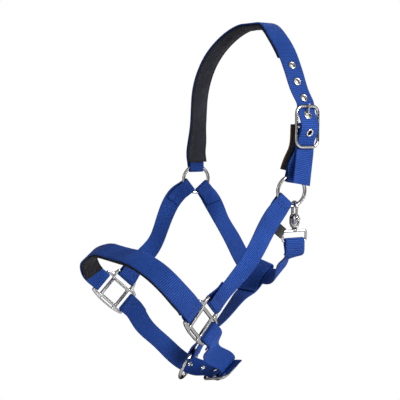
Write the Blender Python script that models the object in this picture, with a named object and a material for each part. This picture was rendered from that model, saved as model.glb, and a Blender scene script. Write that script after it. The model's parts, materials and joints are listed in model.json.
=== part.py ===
"""Padded webbing head halter for a horse, buckled at crown and chin and clipped at the throat.

Metres, +Z up. The horse faces -Y and its near (left) side is +X. The origin is the middle of
the crown lining's underside, where the halter rests behind the ears.
"""
import math

import bmesh
import bpy
import numpy as np
from mathutils import Matrix, Vector

for old in list(bpy.data.objects):
    bpy.data.objects.remove(old, do_unlink=True)

MM = 0.001
GAP = 0.3 * MM                      # air left between touching pieces
STEP = 5.0 * MM                     # spacing of sections along a strap

# webbing and padding
WEB_WIDTH = 25.0 * MM
WEB_THICK = 2.2 * MM
RING_END_WIDTH = 19.5 * MM          # webbing gathers where it turns round a ring
LINING_THICK = 4.0 * MM
LINING_WIDTH = 25.0 * MM
BACKING_THICK = 2.0 * MM
FOLD_RAMP = 18.0 * MM                # length over which a turned-back end closes on its strap

# upper cheek rings and chin ring
RING_RADIUS = 17.6 * MM
RING_WIRE = 2.1 * MM
RING_YAW = math.radians(-16.0)
CHIN_RING_RADIUS = 19.5 * MM
CHIN_RING_WIRE = 2.2 * MM

# halter squares
SQUARE_OPENING = 22.0 * MM
SQUARE_BAR = 3.0 * MM
SQUARE_REACH = 24.3 * MM            # centre to the middle of an outer bar
SQUARE_OUTER_BAR = 3.4 * MM
GUARD_SLOT = 1.8 * MM
SQUARE_THICK = 3.6 * MM

# roller-less buckles with a centre bar
CROWN_BUCKLE = dict(length=50.5 * MM, width=34.4 * MM, wire=1.9 * MM, bar=1.5 * MM)
CHIN_BUCKLE = dict(length=50 * MM, width=34 * MM, wire=1.7 * MM, bar=1.4 * MM)

EYELET_SIDES = 16

# where the hardware sits
SQUARE_CENTRE = Vector((89.0, -156.0, -328.0)) * MM
RING_CENTRE = Vector((91.4, -24.6, -193.0)) * MM
CHIN_RING_CENTRE = Vector((-20.0, -91.0, -417.0)) * MM
CHIN_RING_NORMAL = Vector((0.79, 0.45, -0.43)).normalized()
CHIN_RING_TOP = Vector((0.417, 0.229, 0.875))
CROWN_BUCKLE_CENTRE = Vector((105.5, -14.5, -118.0)) * MM
CROWN_BUCKLE_DOWN = Vector((0.03, -0.02, -1.0)).normalized()
CHIN_BUCKLE_CENTRE = Vector((36.0, -84.0, -411.0)) * MM
CHIN_BUCKLE_DOWN = Vector((0.94, -0.04, 0.30)).normalized()


def v(x, y, z):
    return Vector((x, y, z)) * MM


# ------------------------------------------------------------------ materials
def material(name, colour, roughness, metallic=0.0):
    mat = bpy.data.materials.new(name)
    mat.use_nodes = True
    bsdf = mat.node_tree.nodes["Principled BSDF"]
    bsdf.inputs["Base Color"].default_value = (*colour, 1.0)
    bsdf.inputs["Roughness"].default_value = roughness
    bsdf.inputs["Metallic"].default_value = metallic
    return mat


BLUE = (0.012, 0.045, 0.30)
BLACK = (0.018, 0.019, 0.023)
BROWN = (0.10, 0.055, 0.035)
CHROME = (0.62, 0.61, 0.60)


def face_out(bm):
    """Make every face point out of the closed body."""
    bmesh.ops.recalc_face_normals(bm, faces=bm.faces)
    if bm.calc_volume(signed=True) < 0:
        bmesh.ops.reverse_faces(bm, faces=bm.faces)


def finish(name, bm, colour, roughness, metallic=0.0, smooth=False, origin=None):
    """Turn a bmesh into one named object with its own material."""
    face_out(bm)
    if origin is not None:
        bmesh.ops.translate(bm, verts=bm.verts, vec=-origin)
    mesh = bpy.data.meshes.new(name)
    bm.to_mesh(mesh)
    bm.free()
    obj = bpy.data.objects.new(name, mesh)
    bpy.context.scene.collection.objects.link(obj)
    mesh.materials.append(material(name, colour, roughness, metallic))
    if origin is not None:
        obj.location = origin
    for poly in mesh.polygons:
        poly.use_smooth = smooth
    return obj


# ------------------------------------------------------------------ centrelines
def spline(knots, values, at, slopes=None):
    """Cubic spline through the values at the knots; slopes fixes its directions at the ends."""
    n = len(knots)
    h = np.diff(knots)
    system = np.eye(n)
    right = np.zeros((n, values.shape[1]))
    for i in range(1, n - 1):
        system[i, i - 1:i + 2] = (h[i - 1], 2 * (h[i - 1] + h[i]), h[i])
        right[i] = 6 * ((values[i + 1] - values[i]) / h[i] - (values[i] - values[i - 1]) / h[i - 1])
    if slopes is not None:
        system[0, :2] = (2 * h[0], h[0])
        right[0] = 6 * ((values[1] - values[0]) / h[0] - slopes[0])
        system[-1, -2:] = (h[-1], 2 * h[-1])
        right[-1] = 6 * (slopes[1] - (values[-1] - values[-2]) / h[-1])
    bend = np.linalg.solve(system, right)
    out = []
    for s in at:
        i = min(max(int(np.searchsorted(knots, s)) - 1, 0), n - 2)
        a = (knots[i + 1] - s) / h[i]
        b = (s - knots[i]) / h[i]
        curve = (a ** 3 - a) * bend[i] + (b ** 3 - b) * bend[i + 1]
        out.append(a * values[i] + b * values[i + 1] + curve * h[i] ** 2 / 6)
    return np.array(out)


def run(points, across, step=STEP):
    """Sections along a strap: a list of (centre, along, across, outward) unit frames."""
    pts = np.array([tuple(p) for p in points])
    wide = np.array([tuple(Vector(a).normalized()) for a in across])
    knots = np.concatenate([[0], np.cumsum(np.linalg.norm(np.diff(pts, axis=0), axis=1))])
    count = max(int(knots[-1] / step), 4)
    at = np.linspace(0, knots[-1], count + 1)
    slopes = ((pts[1] - pts[0]) / (knots[1] - knots[0]), (pts[-1] - pts[-2]) / (knots[-1] - knots[-2]))
    centres = spline(knots, pts, at, slopes)
    turns = spline(knots, wide, at)
    near = spline(knots, pts, np.clip(at + 0.0002, 0, knots[-1]), slopes)
    back = spline(knots, pts, np.clip(at - 0.0002, 0, knots[-1]), slopes)
    frames = []
    for centre, ahead, behind, turn in zip(centres, near, back, turns):
        along = Vector(ahead - behind).normalized()
        side = Vector(turn)
        side = (side - along * side.dot(along)).normalized()
        frames.append((Vector(centre), along, side, along.cross(side).normalized()))
    return frames


def lengths(frames):
    out = [0.0]
    for a, b in zip(frames, frames[1:]):
        out.append(out[-1] + (b[0] - a[0]).length)
    return out


def at_length(frames, s):
    """Frame at a distance from the start of a run."""
    total = lengths(frames)
    for i in range(len(frames) - 1):
        if total[i + 1] >= s or i == len(frames) - 2:
            t = (s - total[i]) / max(total[i + 1] - total[i], 1e-9)
            a = frames[i]
            b = frames[i + 1]
            centre = a[0].lerp(b[0], t)
            along = a[1].lerp(b[1], t).normalized()
            side = a[2].lerp(b[2], t)
            side = (side - along * side.dot(along)).normalized()
            return (centre, along, side, along.cross(side).normalized())


def woven(frames, height, bar_at, reach):
    """Lift the sections by height(distance to the bar), from reach before the bar onwards."""
    moved = []
    for f, s in zip(frames, lengths(frames)):
        lift = height(bar_at - s) if s > bar_at - reach else 0.0
        moved.append((f[0] + f[3] * lift, f[1], f[2], f[3]))
    return squared(moved)


def squared(frames):
    """Recompute the along directions after the centres have moved."""
    out = []
    last = len(frames) - 1
    for i, (centre, along, side, _) in enumerate(frames):
        ahead = frames[min(i + 1, last)][0] - frames[max(i - 1, 0)][0]
        if 0 < i < last and ahead.length > 1e-9:
            along = ahead.normalized()
        side = (side - along * side.dot(along)).normalized()
        out.append((centre, along, side, along.cross(side).normalized()))
    return out


def flattened(frames, centre, outward, half):
    """Make the sections within half of a place on the midline lie exactly in one plane."""
    out = []
    level = Vector((1, 0, 0))
    for f in frames:
        if abs(f[0].x - centre.x) <= half:
            spot = f[0] - outward * (f[0] - centre).dot(outward)
            spot.y = centre.y
            spot.z = centre.z
            out.append((spot, level, outward.cross(level).normalized(), outward))
        else:
            out.append(f)
    return out


def smoothstep(x):
    x = min(max(x, 0.0), 1.0)
    return x * x * (3 - 2 * x)


def fold(frames, half, reach=0.0, slot=0.0, tail=20 * MM, thick=WEB_THICK, turns=8):
    """Carry the run on past its end, round a bar and back along its inner side.

    The bar's centre is `radius` inward of the run's last section; half is the half thickness
    the fold must clear, reach the room beyond the bar and slot the room before it.
    """
    radius = half + GAP + thick / 2
    end, along, side, outward = frames[-1]
    bar = end - outward * radius
    out = list(frames)
    if reach > 0:
        out[-1] = (end + along * reach * 0.5, along, side, outward)
    for k in range(0 if reach > 0 else 1, turns + 1):
        angle = math.pi * k / turns
        lift = outward * math.cos(angle) + along * math.sin(angle)
        centre = bar + along * reach + lift * radius
        ahead = -outward * math.sin(angle) + along * math.cos(angle)
        out.append((centre, ahead, side, lift))
    if slot > 0:
        out.append((bar - along * slot - outward * radius, -along, side, -outward))
    ramp = FOLD_RAMP
    total = lengths(frames)[-1]
    close = thick + GAP * 1.2
    steps = max(int((tail - slot) / (2.5 * MM)), 2)
    for k in range(1, steps + 1):
        s = slot + (tail - slot) * k / steps
        f = at_length(frames, total - s)
        drop = 2 * radius + (close - 2 * radius) * smoothstep((s - slot) / ramp)
        out.append((f[0] - f[3] * drop, -f[1], f[2], -f[3]))
    return squared_fold(out)


def squared_fold(frames):
    """Keep each section at right angles to the local path without turning it over."""
    out = []
    last = len(frames) - 1
    for i, (centre, along, side, outward) in enumerate(frames):
        path = frames[min(i + 1, last)][0] - frames[max(i - 1, 0)][0]
        if 0 < i < last and path.length > 1e-9 and path.normalized().dot(along) > 0.5:
            along = path.normalized()
        face = (outward - along * outward.dot(along)).normalized()
        out.append((centre, along, side, face))
    return out


def ribbon(name, frames, thick, width, colour, roughness=0.8, narrow=(None, None), holes=()):
    """Sweep a flat rectangular section along the frames and close both ends."""
    total = lengths(frames)
    bm = bmesh.new()
    rings = []
    for f, s in zip(frames, total):
        w = width
        for place, end_width in zip((s, total[-1] - s), narrow):
            if end_width is not None:
                narrowed, reach = end_width
                w = min(w, narrowed + (width - narrowed) * smoothstep((place - reach) / (30 * MM)))
        centre, _, side, outward = f
        ring = []
        for a, b in ((1, 1), (-1, 1), (-1, -1), (1, -1)):
            ring.append(bm.verts.new(centre + side * (a * w / 2) + outward * (b * thick / 2)))
        rings.append(ring)
    for low, high in zip(rings, rings[1:]):
        for k in range(4):
            bm.faces.new((low[k], low[(k + 1) % 4], high[(k + 1) % 4], high[k]))
    bm.faces.new(rings[0])
    bm.faces.new(list(reversed(rings[-1])))
    obj = finish(name, bm, colour, roughness)
    for cutter in holes:
        cut(obj, cutter)
    return obj


def apply_boolean(obj, bm, operation):
    """Combine an object with a bmesh and keep the result as its mesh."""
    face_out(bm)
    mesh = bpy.data.meshes.new("tool")
    bm.to_mesh(mesh)
    bm.free()
    tool = bpy.data.objects.new("tool", mesh)
    bpy.context.scene.collection.objects.link(tool)
    tool.matrix_world = obj.matrix_basis.copy()
    mod = obj.modifiers.new("combine", "BOOLEAN")
    mod.solver = "EXACT"
    mod.operation = operation
    mod.object = tool
    bpy.context.view_layer.update()
    graph = bpy.context.evaluated_depsgraph_get()
    result = bpy.data.meshes.new_from_object(obj.evaluated_get(graph))
    obj.modifiers.clear()
    obj.data = result
    bpy.data.objects.remove(tool)


def cut(obj, bm):
    apply_boolean(obj, bm, "DIFFERENCE")


def set_origin(obj, point):
    """Put an object's origin at a point without moving its surface."""
    obj.data.transform(Matrix.Translation(-point))
    obj.location = point


# ------------------------------------------------------------------ round and flat solids
def lathe(profile, place, segments=24, squash=1.0):
    """Closed solid of revolution from (radius, height) pairs; place maps local Z to the axis."""
    bm = bmesh.new()
    rows = []
    for radius, height in profile:
        if radius < 1e-7:
            rows.append([bm.verts.new(place @ Vector((0, 0, height)))])
            continue
        row = []
        for k in range(segments):
            angle = 2 * math.pi * k / segments
            row.append(bm.verts.new(place @ Vector((radius * math.cos(angle),
                                                    radius * squash * math.sin(angle), height))))
        rows.append(row)
    pairs = list(zip(rows, rows[1:]))
    if len(rows[0]) > 1 and len(rows[-1]) > 1:
        pairs.append((rows[-1], rows[0]))
    for low, high in pairs:
        for k in range(segments):
            j = (k + 1) % segments
            if len(low) == 1:
                bm.faces.new((low[0], high[k], high[j]))
            elif len(high) == 1:
                bm.faces.new((low[k], low[j], high[0]))
            else:
                bm.faces.new((low[k], low[j], high[j], high[k]))
    return bm


def tube(points, radius, sides=12, closed=False, up=None):
    """Round bar swept along a list of points."""
    bm = bmesh.new()
    rows = []
    n = len(points)
    lift = up or Vector((0, 0, 1))
    for i, p in enumerate(points):
        if closed:
            along = (points[(i + 1) % n] - points[i - 1]).normalized()
        else:
            along = (points[min(i + 1, n - 1)] - points[max(i - 1, 0)]).normalized()
        side = along.cross(lift).normalized()
        other = side.cross(along)
        row = []
        for k in range(sides):
            angle = 2 * math.pi * k / sides
            row.append(bm.verts.new(p + (side * math.cos(angle) + other * math.sin(angle)) * radius))
        rows.append(row)
    links = list(zip(rows, rows[1:]))
    if closed:
        links.append((rows[-1], rows[0]))
    for low, high in links:
        for k in range(sides):
            bm.faces.new((low[k], low[(k + 1) % sides], high[(k + 1) % sides], high[k]))
    if not closed:
        bm.faces.new(rows[0])
        bm.faces.new(list(reversed(rows[-1])))
    return bm


def basis(origin, x, y, z):
    """Matrix that takes local axes to the given unit directions at the origin."""
    m = Matrix((x, y, z)).transposed().to_4x4()
    m.translation = origin
    return m


def box(size, place, centre=(0, 0, 0)):
    bm = bmesh.new()
    bmesh.ops.create_cube(bm, size=1.0)
    for vert in bm.verts:
        local = Vector((vert.co.x * size[0], vert.co.y * size[1], vert.co.z * size[2])) + Vector(centre)
        vert.co = place @ local
    return bm


def cylinder(radius, low, high, place, segments=20):
    return lathe(((0, low), (radius, low), (radius, high), (0, high)), place, segments)


# ------------------------------------------------------------------ rings
def ring_axes():
    """Plane directions of a cheek ring: level, up and normal."""
    level = Vector((-math.sin(RING_YAW), math.cos(RING_YAW), 0))
    return level, Vector((0, 0, 1)), Vector((math.cos(RING_YAW), math.sin(RING_YAW), 0))


def torus(name, centre, normal, radius, wire, around=36, sides=10):
    first = normal.orthogonal().normalized()
    second = normal.cross(first)
    pts = []
    for k in range(around):
        angle = 2 * math.pi * k / around
        pts.append(centre + (first * math.cos(angle) + second * math.sin(angle)) * radius)
    bm = tube(pts, wire, sides, closed=True, up=normal)
    return finish(name, bm, CHROME, 0.15, 1.0, smooth=True, origin=centre)


def ring_anchor(side, degrees):
    """Wire point of a cheek ring at an angle in its plane, and the direction towards the centre."""
    centre = Vector((RING_CENTRE.x * side, RING_CENTRE.y, RING_CENTRE.z))
    level, up, normal = ring_axes()
    angle = math.radians(degrees)
    radial = level * math.cos(angle) + up * math.sin(angle)
    tangent = up * math.cos(angle) - level * math.sin(angle)
    return centre + radial * RING_RADIUS, -radial, tangent, normal


def sagitta(radius, width):
    return radius - math.sqrt(radius ** 2 - (width / 2) ** 2)


RING_FOLD = dict(half=RING_WIRE + 0.2 * MM, reach=sagitta(RING_RADIUS, RING_END_WIDTH) + 0.3 * MM,
                 slot=RING_WIRE + 0.8 * MM, tail=26 * MM)
CHIN_FOLD = dict(half=CHIN_RING_WIRE + 0.2 * MM,
                 reach=sagitta(CHIN_RING_RADIUS, RING_END_WIDTH) + 0.3 * MM,
                 slot=CHIN_RING_WIRE + 0.8 * MM, tail=24 * MM)
BAR_HALF = 2.6 * MM
BAR_FOLD = dict(half=BAR_HALF, tail=24 * MM)
RING_LIFT = RING_WIRE + 0.2 * MM + GAP + WEB_THICK / 2
CHIN_LIFT = CHIN_RING_WIRE + 0.2 * MM + GAP + WEB_THICK / 2
BAR_LIFT = BAR_HALF + GAP + WEB_THICK / 2
NARROW = (RING_END_WIDTH, 34 * MM)

torus("cheek_ring_near", Vector(RING_CENTRE), ring_axes()[2], RING_RADIUS, RING_WIRE)
torus("cheek_ring_far", Vector((-RING_CENTRE.x, RING_CENTRE.y, RING_CENTRE.z)), ring_axes()[2],
      RING_RADIUS, RING_WIRE)
torus("chin_ring", CHIN_RING_CENTRE, CHIN_RING_NORMAL, CHIN_RING_RADIUS, CHIN_RING_WIRE)


# ------------------------------------------------------------------ halter squares
def square_axes(side):
    """Directions of a square: towards the ring, towards the nose, outward from the horse."""
    cheek = (RING_CENTRE - SQUARE_CENTRE)
    cheek = Vector((0, cheek.y, cheek.z)).normalized()
    if side > 0:
        lean = math.radians(16)
        nose = Vector((math.sin(lean), -cheek.z * math.cos(lean), cheek.y * math.cos(lean)))
        return cheek, nose, cheek.cross(nose).normalized()
    face = Vector((math.cos(math.radians(11)), -math.sin(math.radians(11)), 0))
    cheek = (cheek - face * cheek.dot(face)).normalized()
    return cheek, face.cross(cheek).normalized(), -face


def square_place(side):
    cheek, nose, _ = square_axes(side)
    centre = Vector((SQUARE_CENTRE.x * side, SQUARE_CENTRE.y, SQUARE_CENTRE.z))
    return basis(centre, cheek, nose, cheek.cross(nose).normalized())


def halter_square(name, side):
    """Inner frame, outer bars on three sides joined by corner posts, and a bowed guard."""
    place = square_place(side)
    local = Matrix.Identity(4)
    inner = SQUARE_OPENING / 2
    frame = inner + SQUARE_BAR
    reach = SQUARE_REACH + SQUARE_OUTER_BAR / 2
    corner = 17.0 * MM
    outline = ((reach, -corner + 2 * MM), (reach, corner - 2 * MM), (corner + 1 * MM, corner + 1 * MM),
               (corner - 2 * MM, reach), (-corner + 1 * MM, reach), (-corner - 0.6 * MM, corner + 2 * MM),
               (-corner - 1.9 * MM, corner / 2), (-corner - 1.9 * MM, -corner / 2),
               (-corner - 0.6 * MM, -corner - 2 * MM), (-corner + 1 * MM, -reach),
               (corner - 2 * MM, -reach), (corner + 1 * MM, -corner - 1 * MM))
    bm = bmesh.new()
    low = [bm.verts.new((x, y, -SQUARE_THICK / 2)) for x, y in outline]
    bm.faces.new(low)
    made = bmesh.ops.extrude_face_region(bm, geom=list(bm.faces))
    top = [g for g in made["geom"] if isinstance(g, bmesh.types.BMVert)]
    bmesh.ops.translate(bm, verts=top, vec=(0, 0, SQUARE_THICK))
    obj = finish(name, bm, CHROME, 0.18, 1.0)
    deep = SQUARE_THICK * 3
    slot_low = frame + 0.8 * MM
    slot_high = SQUARE_REACH - SQUARE_OUTER_BAR / 2
    slot = slot_high - slot_low
    middle = (slot_high + slot_low) / 2
    long = WEB_WIDTH + 1.2 * MM
    cut(obj, box((SQUARE_OPENING, SQUARE_OPENING, deep), local))
    cut(obj, box((slot, long, deep), local, (middle, 0, 0)))
    cut(obj, box((long, slot, deep), local, (0, middle, 0)))
    cut(obj, box((long, slot, deep), local, (0, -middle, 0)))
    guard_middle = -frame - 0.9 * MM - GUARD_SLOT / 2
    cut(obj, box((GUARD_SLOT, SQUARE_OPENING * 0.96, deep), local, (guard_middle, 0, 0)))
    flat = bmesh.new()
    flat.from_mesh(obj.data)
    bmesh.ops.triangulate(flat, faces=flat.faces)
    flat.to_mesh(obj.data)
    flat.free()
    bevel = obj.modifiers.new("edges", "BEVEL")
    bevel.width = 0.9 * MM
    bevel.segments = 2
    bevel.limit_method = "ANGLE"
    bevel.angle_limit = math.radians(40)
    obj.matrix_world = place
    for poly in obj.data.polygons:
        poly.use_smooth = False
    return obj


halter_square("halter_square_near", 1)
halter_square("halter_square_far", -1)


def square_anchor(side, which):
    """Outer bar point, direction from the strap towards the square's centre, and bar direction."""
    cheek, nose, outward = square_axes(side)
    centre = Vector((SQUARE_CENTRE.x * side, SQUARE_CENTRE.y, SQUARE_CENTRE.z))
    direction = {"cheek": cheek, "nose": nose, "chin": -nose}[which]
    bar = nose if which == "cheek" else cheek
    return centre + direction * SQUARE_REACH, -direction, bar, outward


# ------------------------------------------------------------------ straps between square and ring
def folded_strap(name, start, end, middles, start_fold, end_fold, narrow=(None, None), flat=None):
    """Webbing between two bars; start and end are (bar, inward direction, bar direction, lift)."""
    (bar0, in0, _, lift0), (bar1, in1, _, lift1) = start, end
    face0 = lift0[0]
    face1 = lift1[0]
    first = bar0 + face0 * lift0[1]
    last = bar1 + face1 * lift1[1]
    # across directions chosen so that along x across points outward
    a0 = face0.cross(-in0).normalized()
    a1 = face1.cross(in1).normalized()
    points = [first, first - in0 * 6 * MM, first - in0 * 12 * MM] + [p for p, _ in middles]
    points += [last - in1 * 12 * MM, last - in1 * 6 * MM, last]
    across = [a0, a0, a0] + [a for _, a in middles] + [a1, a1, a1]
    frames = run(points, across)
    if flat:
        frames = flattened(frames, *flat)
    forward = fold(frames, **end_fold)
    extra = forward[len(frames):]
    back = fold(mirror_run(frames), **start_fold)
    head = back[len(frames):]
    path = mirror_run(head) + frames + extra
    ribbon(name, path, WEB_THICK, WEB_WIDTH, BLUE, narrow=narrow)
    return frames


def with_lift(anchor, lift):
    """An anchor as folded_strap takes it; a negative lift puts the strap on the face's other side."""
    bar, inward, wide, face = anchor
    return bar, inward, wide, (face if lift > 0 else -face, abs(lift))


def mirror_run(frames):
    """The same sections met in the opposite order, keeping outward directions."""
    return [(c, -t, -a, n) for c, t, a, n in reversed(frames)]


near_cheek_square = square_anchor(1, "cheek")
near_cheek_ring = ring_anchor(1, 228)
CHEEK_NEAR = folded_strap(
    "cheek_strap_near",
    with_lift(near_cheek_square, BAR_LIFT), with_lift(near_cheek_ring, RING_LIFT),
    [(v(95, -93, -268), Vector((0, -0.717, 0.697)))],
    BAR_FOLD, RING_FOLD, narrow=(None, NARROW))

far_cheek_square = square_anchor(-1, "cheek")
far_cheek_ring = ring_anchor(-1, 217.5)
folded_strap(
    "cheek_strap_far",
    with_lift(far_cheek_square, BAR_LIFT), with_lift(far_cheek_ring, -RING_LIFT),
    [(v(-97, -89, -275), Vector((0, 0.76, -0.65)))],
    BAR_FOLD, RING_FOLD, narrow=(None, NARROW))

# noseband: up from the far square, flat over the nose, down to the near square
far_nose = square_anchor(-1, "nose")
near_nose = square_anchor(1, "nose")
NOSE_FLAT = Vector((0, 0.92, 0.39)).normalized()
NOSE_MIDDLE = v(18, -216.5, -254.5)
NOSE = folded_strap(
    "noseband_strap",
    with_lift(far_nose, BAR_LIFT), with_lift(near_nose, BAR_LIFT),
    [(v(-94.5, -190.5, -291), (0, 0.73, 0.68)), (v(-84, -197.5, -279), (0, 0.78, 0.62)),
     (v(-68, -202, -271), (0, 0.82, 0.57)), (v(-38, -210.5, -261), (0, 0.90, 0.43)),
     (NOSE_MIDDLE - v(26, 0, 0), NOSE_FLAT), (NOSE_MIDDLE, NOSE_FLAT),
     (NOSE_MIDDLE + v(26, 0, 0), NOSE_FLAT),
     (v(82, -209, -266), (0, 0.88, 0.47)), (v(104, -193, -291), (0, 0.78, 0.63))],
    BAR_FOLD, BAR_FOLD, flat=(NOSE_MIDDLE, Vector((1, 0, 0)).cross(NOSE_FLAT), 20 * MM))


def fold_depth(s, data, thick=WEB_THICK):
    """How far the turned-back layer lies inward of the strap at a distance from the bar."""
    radius = data["half"] + GAP + thick / 2
    slot = data.get("slot", 0.0)
    close = thick + GAP * 2.5
    depth = 2 * radius + (close - 2 * radius) * smoothstep((s - slot) / FOLD_RAMP)
    return depth * (1 - smoothstep((s - data["tail"] - 3 * MM) / (24 * MM)))


def lining(name, frames, start, stop, folds):
    """Padding along the inner side of a strap, stepping over the strap's turned-back ends."""
    total = lengths(frames)[-1]
    count = max(int((total - start - stop) / (3 * MM)), 3)
    path = []
    rest = WEB_THICK / 2 + GAP * 1.5 + LINING_THICK / 2
    for k in range(count + 1):
        s = start + (total - start - stop) * k / count
        f = at_length(frames, s)
        depth = 0.0
        for place, data in ((s, folds[0]), (total - s, folds[1])):
            if data:
                depth = max(depth, fold_depth(abs(place), data))
        path.append((f[0] - f[3] * (rest + depth), f[1], f[2], f[3]))
    ribbon(name, squared(path), LINING_THICK, LINING_WIDTH, BLACK, 0.9)


lining("noseband_lining", NOSE, 15 * MM, 9 * MM, (BAR_FOLD, BAR_FOLD))


# ------------------------------------------------------------------ buckles
def buckle_axes(down, across):
    """Matrix columns for a buckle: across the strap, up the strap and outward."""
    up = -down
    side = (across - up * across.dot(up)).normalized()
    return side, up, down.cross(side).normalized()


def weave(size):
    """Height of the strap over the centre bar and under the end bars of a buckle."""
    half = size["length"] / 2 - size["wire"]
    high = size["bar"] + GAP * 2 + WEB_THICK * 1.5
    low = -(size["wire"] + GAP + WEB_THICK / 2 + 0.5 * MM)

    def height(d):
        if abs(d) > half:
            return low * (1 - smoothstep((abs(d) - half - 8 * MM) / (40 * MM)))
        return low + (high - low) * 0.5 * (1 + math.cos(math.pi * d / half))
    return height


def buckle(name, centre, axes, size):
    """Rounded rectangular frame with a bar across its middle, in one piece."""
    side, up, outward = axes
    place = basis(centre, side, up, outward)
    corner = 6.5 * MM
    x = size["width"] / 2 - size["wire"]
    y = size["length"] / 2 - size["wire"]
    pts = []
    for cx, cy, start in ((x - corner, y - corner, 0), (-x + corner, y - corner, 90),
                          (-x + corner, -y + corner, 180), (x - corner, -y + corner, 270)):
        for k in range(6):
            angle = math.radians(start + 18 * k)
            pts.append(place @ Vector((cx + corner * math.cos(angle), cy + corner * math.sin(angle), 0)))
    obj = finish(name, tube(pts, size["wire"], 10, closed=True, up=outward), CHROME, 0.15, 1.0)
    ends = (place @ Vector((-x, 0, 0)), place @ Vector((x, 0, 0)))
    apply_boolean(obj, tube(ends, size["bar"], 16, up=outward), "UNION")
    return obj


def tongue(name, centre, axes, size):
    """Rod that turns on the centre bar and lies on the end bar; its origin is on the bar."""
    side, up, outward = axes
    place = basis(centre, up, outward, side)
    half = size["length"] / 2 - size["wire"]
    inner = size["bar"] + GAP
    wide = 1.7 * MM
    thick = inner + 1.5 * MM
    coil = lathe(((inner, -wide), (thick, -wide), (thick, wide), (inner, wide)), place, 20)
    rod = 1.2 * MM
    rest = size["wire"] + GAP + rod
    obj = finish(name, coil, CHROME, 0.18, 1.0, origin=centre)
    local = basis(Vector((0, 0, 0)), up, outward, side)
    path = [local @ Vector((inner + 0.9 * MM, -0.2 * MM, 0)), local @ Vector((half, rest + 0.05 * MM, 0)),
            local @ Vector((half + 2.6 * MM, rest + 0.25 * MM, 0))]
    bm = tube(path, rod, 12, up=side)
    apply_boolean(obj, bm, "UNION")
    return obj


def eyelet(name, frame, barrel=True, inner=2.7 * MM, outer=4.9 * MM):
    """Grommet: a flange lying on the strap's outer face, with a short barrel down through it."""
    centre, along, side, outward = frame
    place = basis(centre, along, side, outward)
    base = WEB_THICK / 2 + GAP
    top = base + 0.8 * MM
    if barrel:
        profile = ((inner, -WEB_THICK / 2), (inner + 0.5 * MM, -WEB_THICK / 2), (inner + 0.5 * MM, base),
                   (outer, base), (outer - 0.3 * MM, top - 0.2 * MM), (inner + 0.9 * MM, top + 0.1 * MM),
                   (inner, top - 0.3 * MM))
    else:
        profile = ((inner, base), (outer, base), (outer - 0.3 * MM, top - 0.2 * MM),
                   (inner + 0.9 * MM, top + 0.1 * MM), (inner, top - 0.3 * MM))
    return finish(name, lathe(profile, place, EYELET_SIDES), CHROME, 0.2, 1.0)


def eyelet_hole(frame, inner=2.7 * MM):
    centre, along, side, outward = frame
    return cylinder(inner + 0.8 * MM, -4 * MM, 3.4 * MM, basis(centre, along, side, outward), EYELET_SIDES)


def tongue_slot(frame, length=11.0 * MM, width=4.4 * MM):
    centre, along, side, outward = frame
    return box((length, width, 6 * MM), basis(centre, along, side, outward))


# ------------------------------------------------------------------ crown
CROWN_TOP = LINING_THICK + GAP * 1.5 + WEB_THICK / 2
CROWN_AXES = buckle_axes(CROWN_BUCKLE_DOWN, Vector((0.12, 0.99, 0)))
CROWN_HEIGHT = weave(CROWN_BUCKLE)
far_crown = ring_anchor(-1, 90)
crown_start = far_crown[0] - far_crown[3] * RING_LIFT
crown_level = ring_axes()[0]
rear = Vector((0, 1, 0))
buckle_side = CROWN_AXES[0]


def down_crown(d):
    """Point on the crown buckle's middle plane, d above its centre bar."""
    return CROWN_BUCKLE_CENTRE - CROWN_BUCKLE_DOWN * d


crown_points = [
    (crown_start, crown_level), (crown_start + v(0, 0, 7), crown_level),
    (crown_start + v(0, 0, 14), crown_level),
    (v(-95, -20, -126), rear), (v(-94.5, -17, -82), rear), (v(-78, -12, -36.5), rear),
    (v(-46, -4, -5.5), rear),
    (Vector((-15 * MM, 0, CROWN_TOP)), rear), (Vector((0, 0, CROWN_TOP)), rear),
    (Vector((15 * MM, 0, CROWN_TOP)), rear), (v(43, -6, -9), (0.15, 0.98, 0.1)),
    (v(75, -15, -40), (0.15, 0.97, 0.15)), (v(97, -16, -77), (0.12, 0.98, 0.1)),
    (down_crown(27 * MM), buckle_side), (down_crown(13 * MM), buckle_side), (down_crown(0), buckle_side),
    (down_crown(-13 * MM), buckle_side), (down_crown(-27 * MM), buckle_side),
    (v(106, -23, -184), buckle_side)]
crown_run = run([p for p, _ in crown_points], [a for _, a in crown_points], 3.5 * MM)
crown_run = flattened(crown_run, Vector((0, 0, CROWN_TOP)), Vector((0, 0, 1)), 17 * MM)


def length_near(frames, point):
    total = lengths(frames)
    best = min(range(len(frames)), key=lambda i: (frames[i][0] - point).length)
    centre, along, _, _ = frames[best]
    return total[best] + (point - centre).dot(along)


CROWN_BAR_AT = length_near(crown_run, CROWN_BUCKLE_CENTRE)
CROWN = woven(crown_run, CROWN_HEIGHT, CROWN_BAR_AT, 90 * MM)
CROWN_BAR_AT = length_near(CROWN, CROWN_BUCKLE_CENTRE + CROWN_AXES[2] * CROWN_HEIGHT(0))
CROWN_PITCH = 20.8 * MM
CROWN_USED = 14.2 * MM
crown_fold = fold(mirror_run(CROWN), **RING_FOLD)
crown_path = mirror_run(crown_fold[len(CROWN):]) + CROWN
crown_eyelets = []
for k in (3, 2, 1, 0, -1):
    crown_eyelets.append(at_length(CROWN, CROWN_BAR_AT - CROWN_USED - CROWN_PITCH * k))
crown_holes = [eyelet_hole(f) for k, f in enumerate(crown_eyelets) if k != 3]
crown_holes.append(tongue_slot(at_length(CROWN, CROWN_BAR_AT - CROWN_USED + 1.2 * MM)))
ribbon("crown_strap", crown_path, WEB_THICK, WEB_WIDTH, BLUE, narrow=(NARROW, None), holes=crown_holes)
for k, f in enumerate(crown_eyelets):
    if k == 3:
        eyelet("crown_eyelet_4", f, barrel=False, inner=3.2 * MM, outer=5.2 * MM)
    else:
        eyelet("crown_eyelet_%d" % (k + 1), f)
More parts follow.
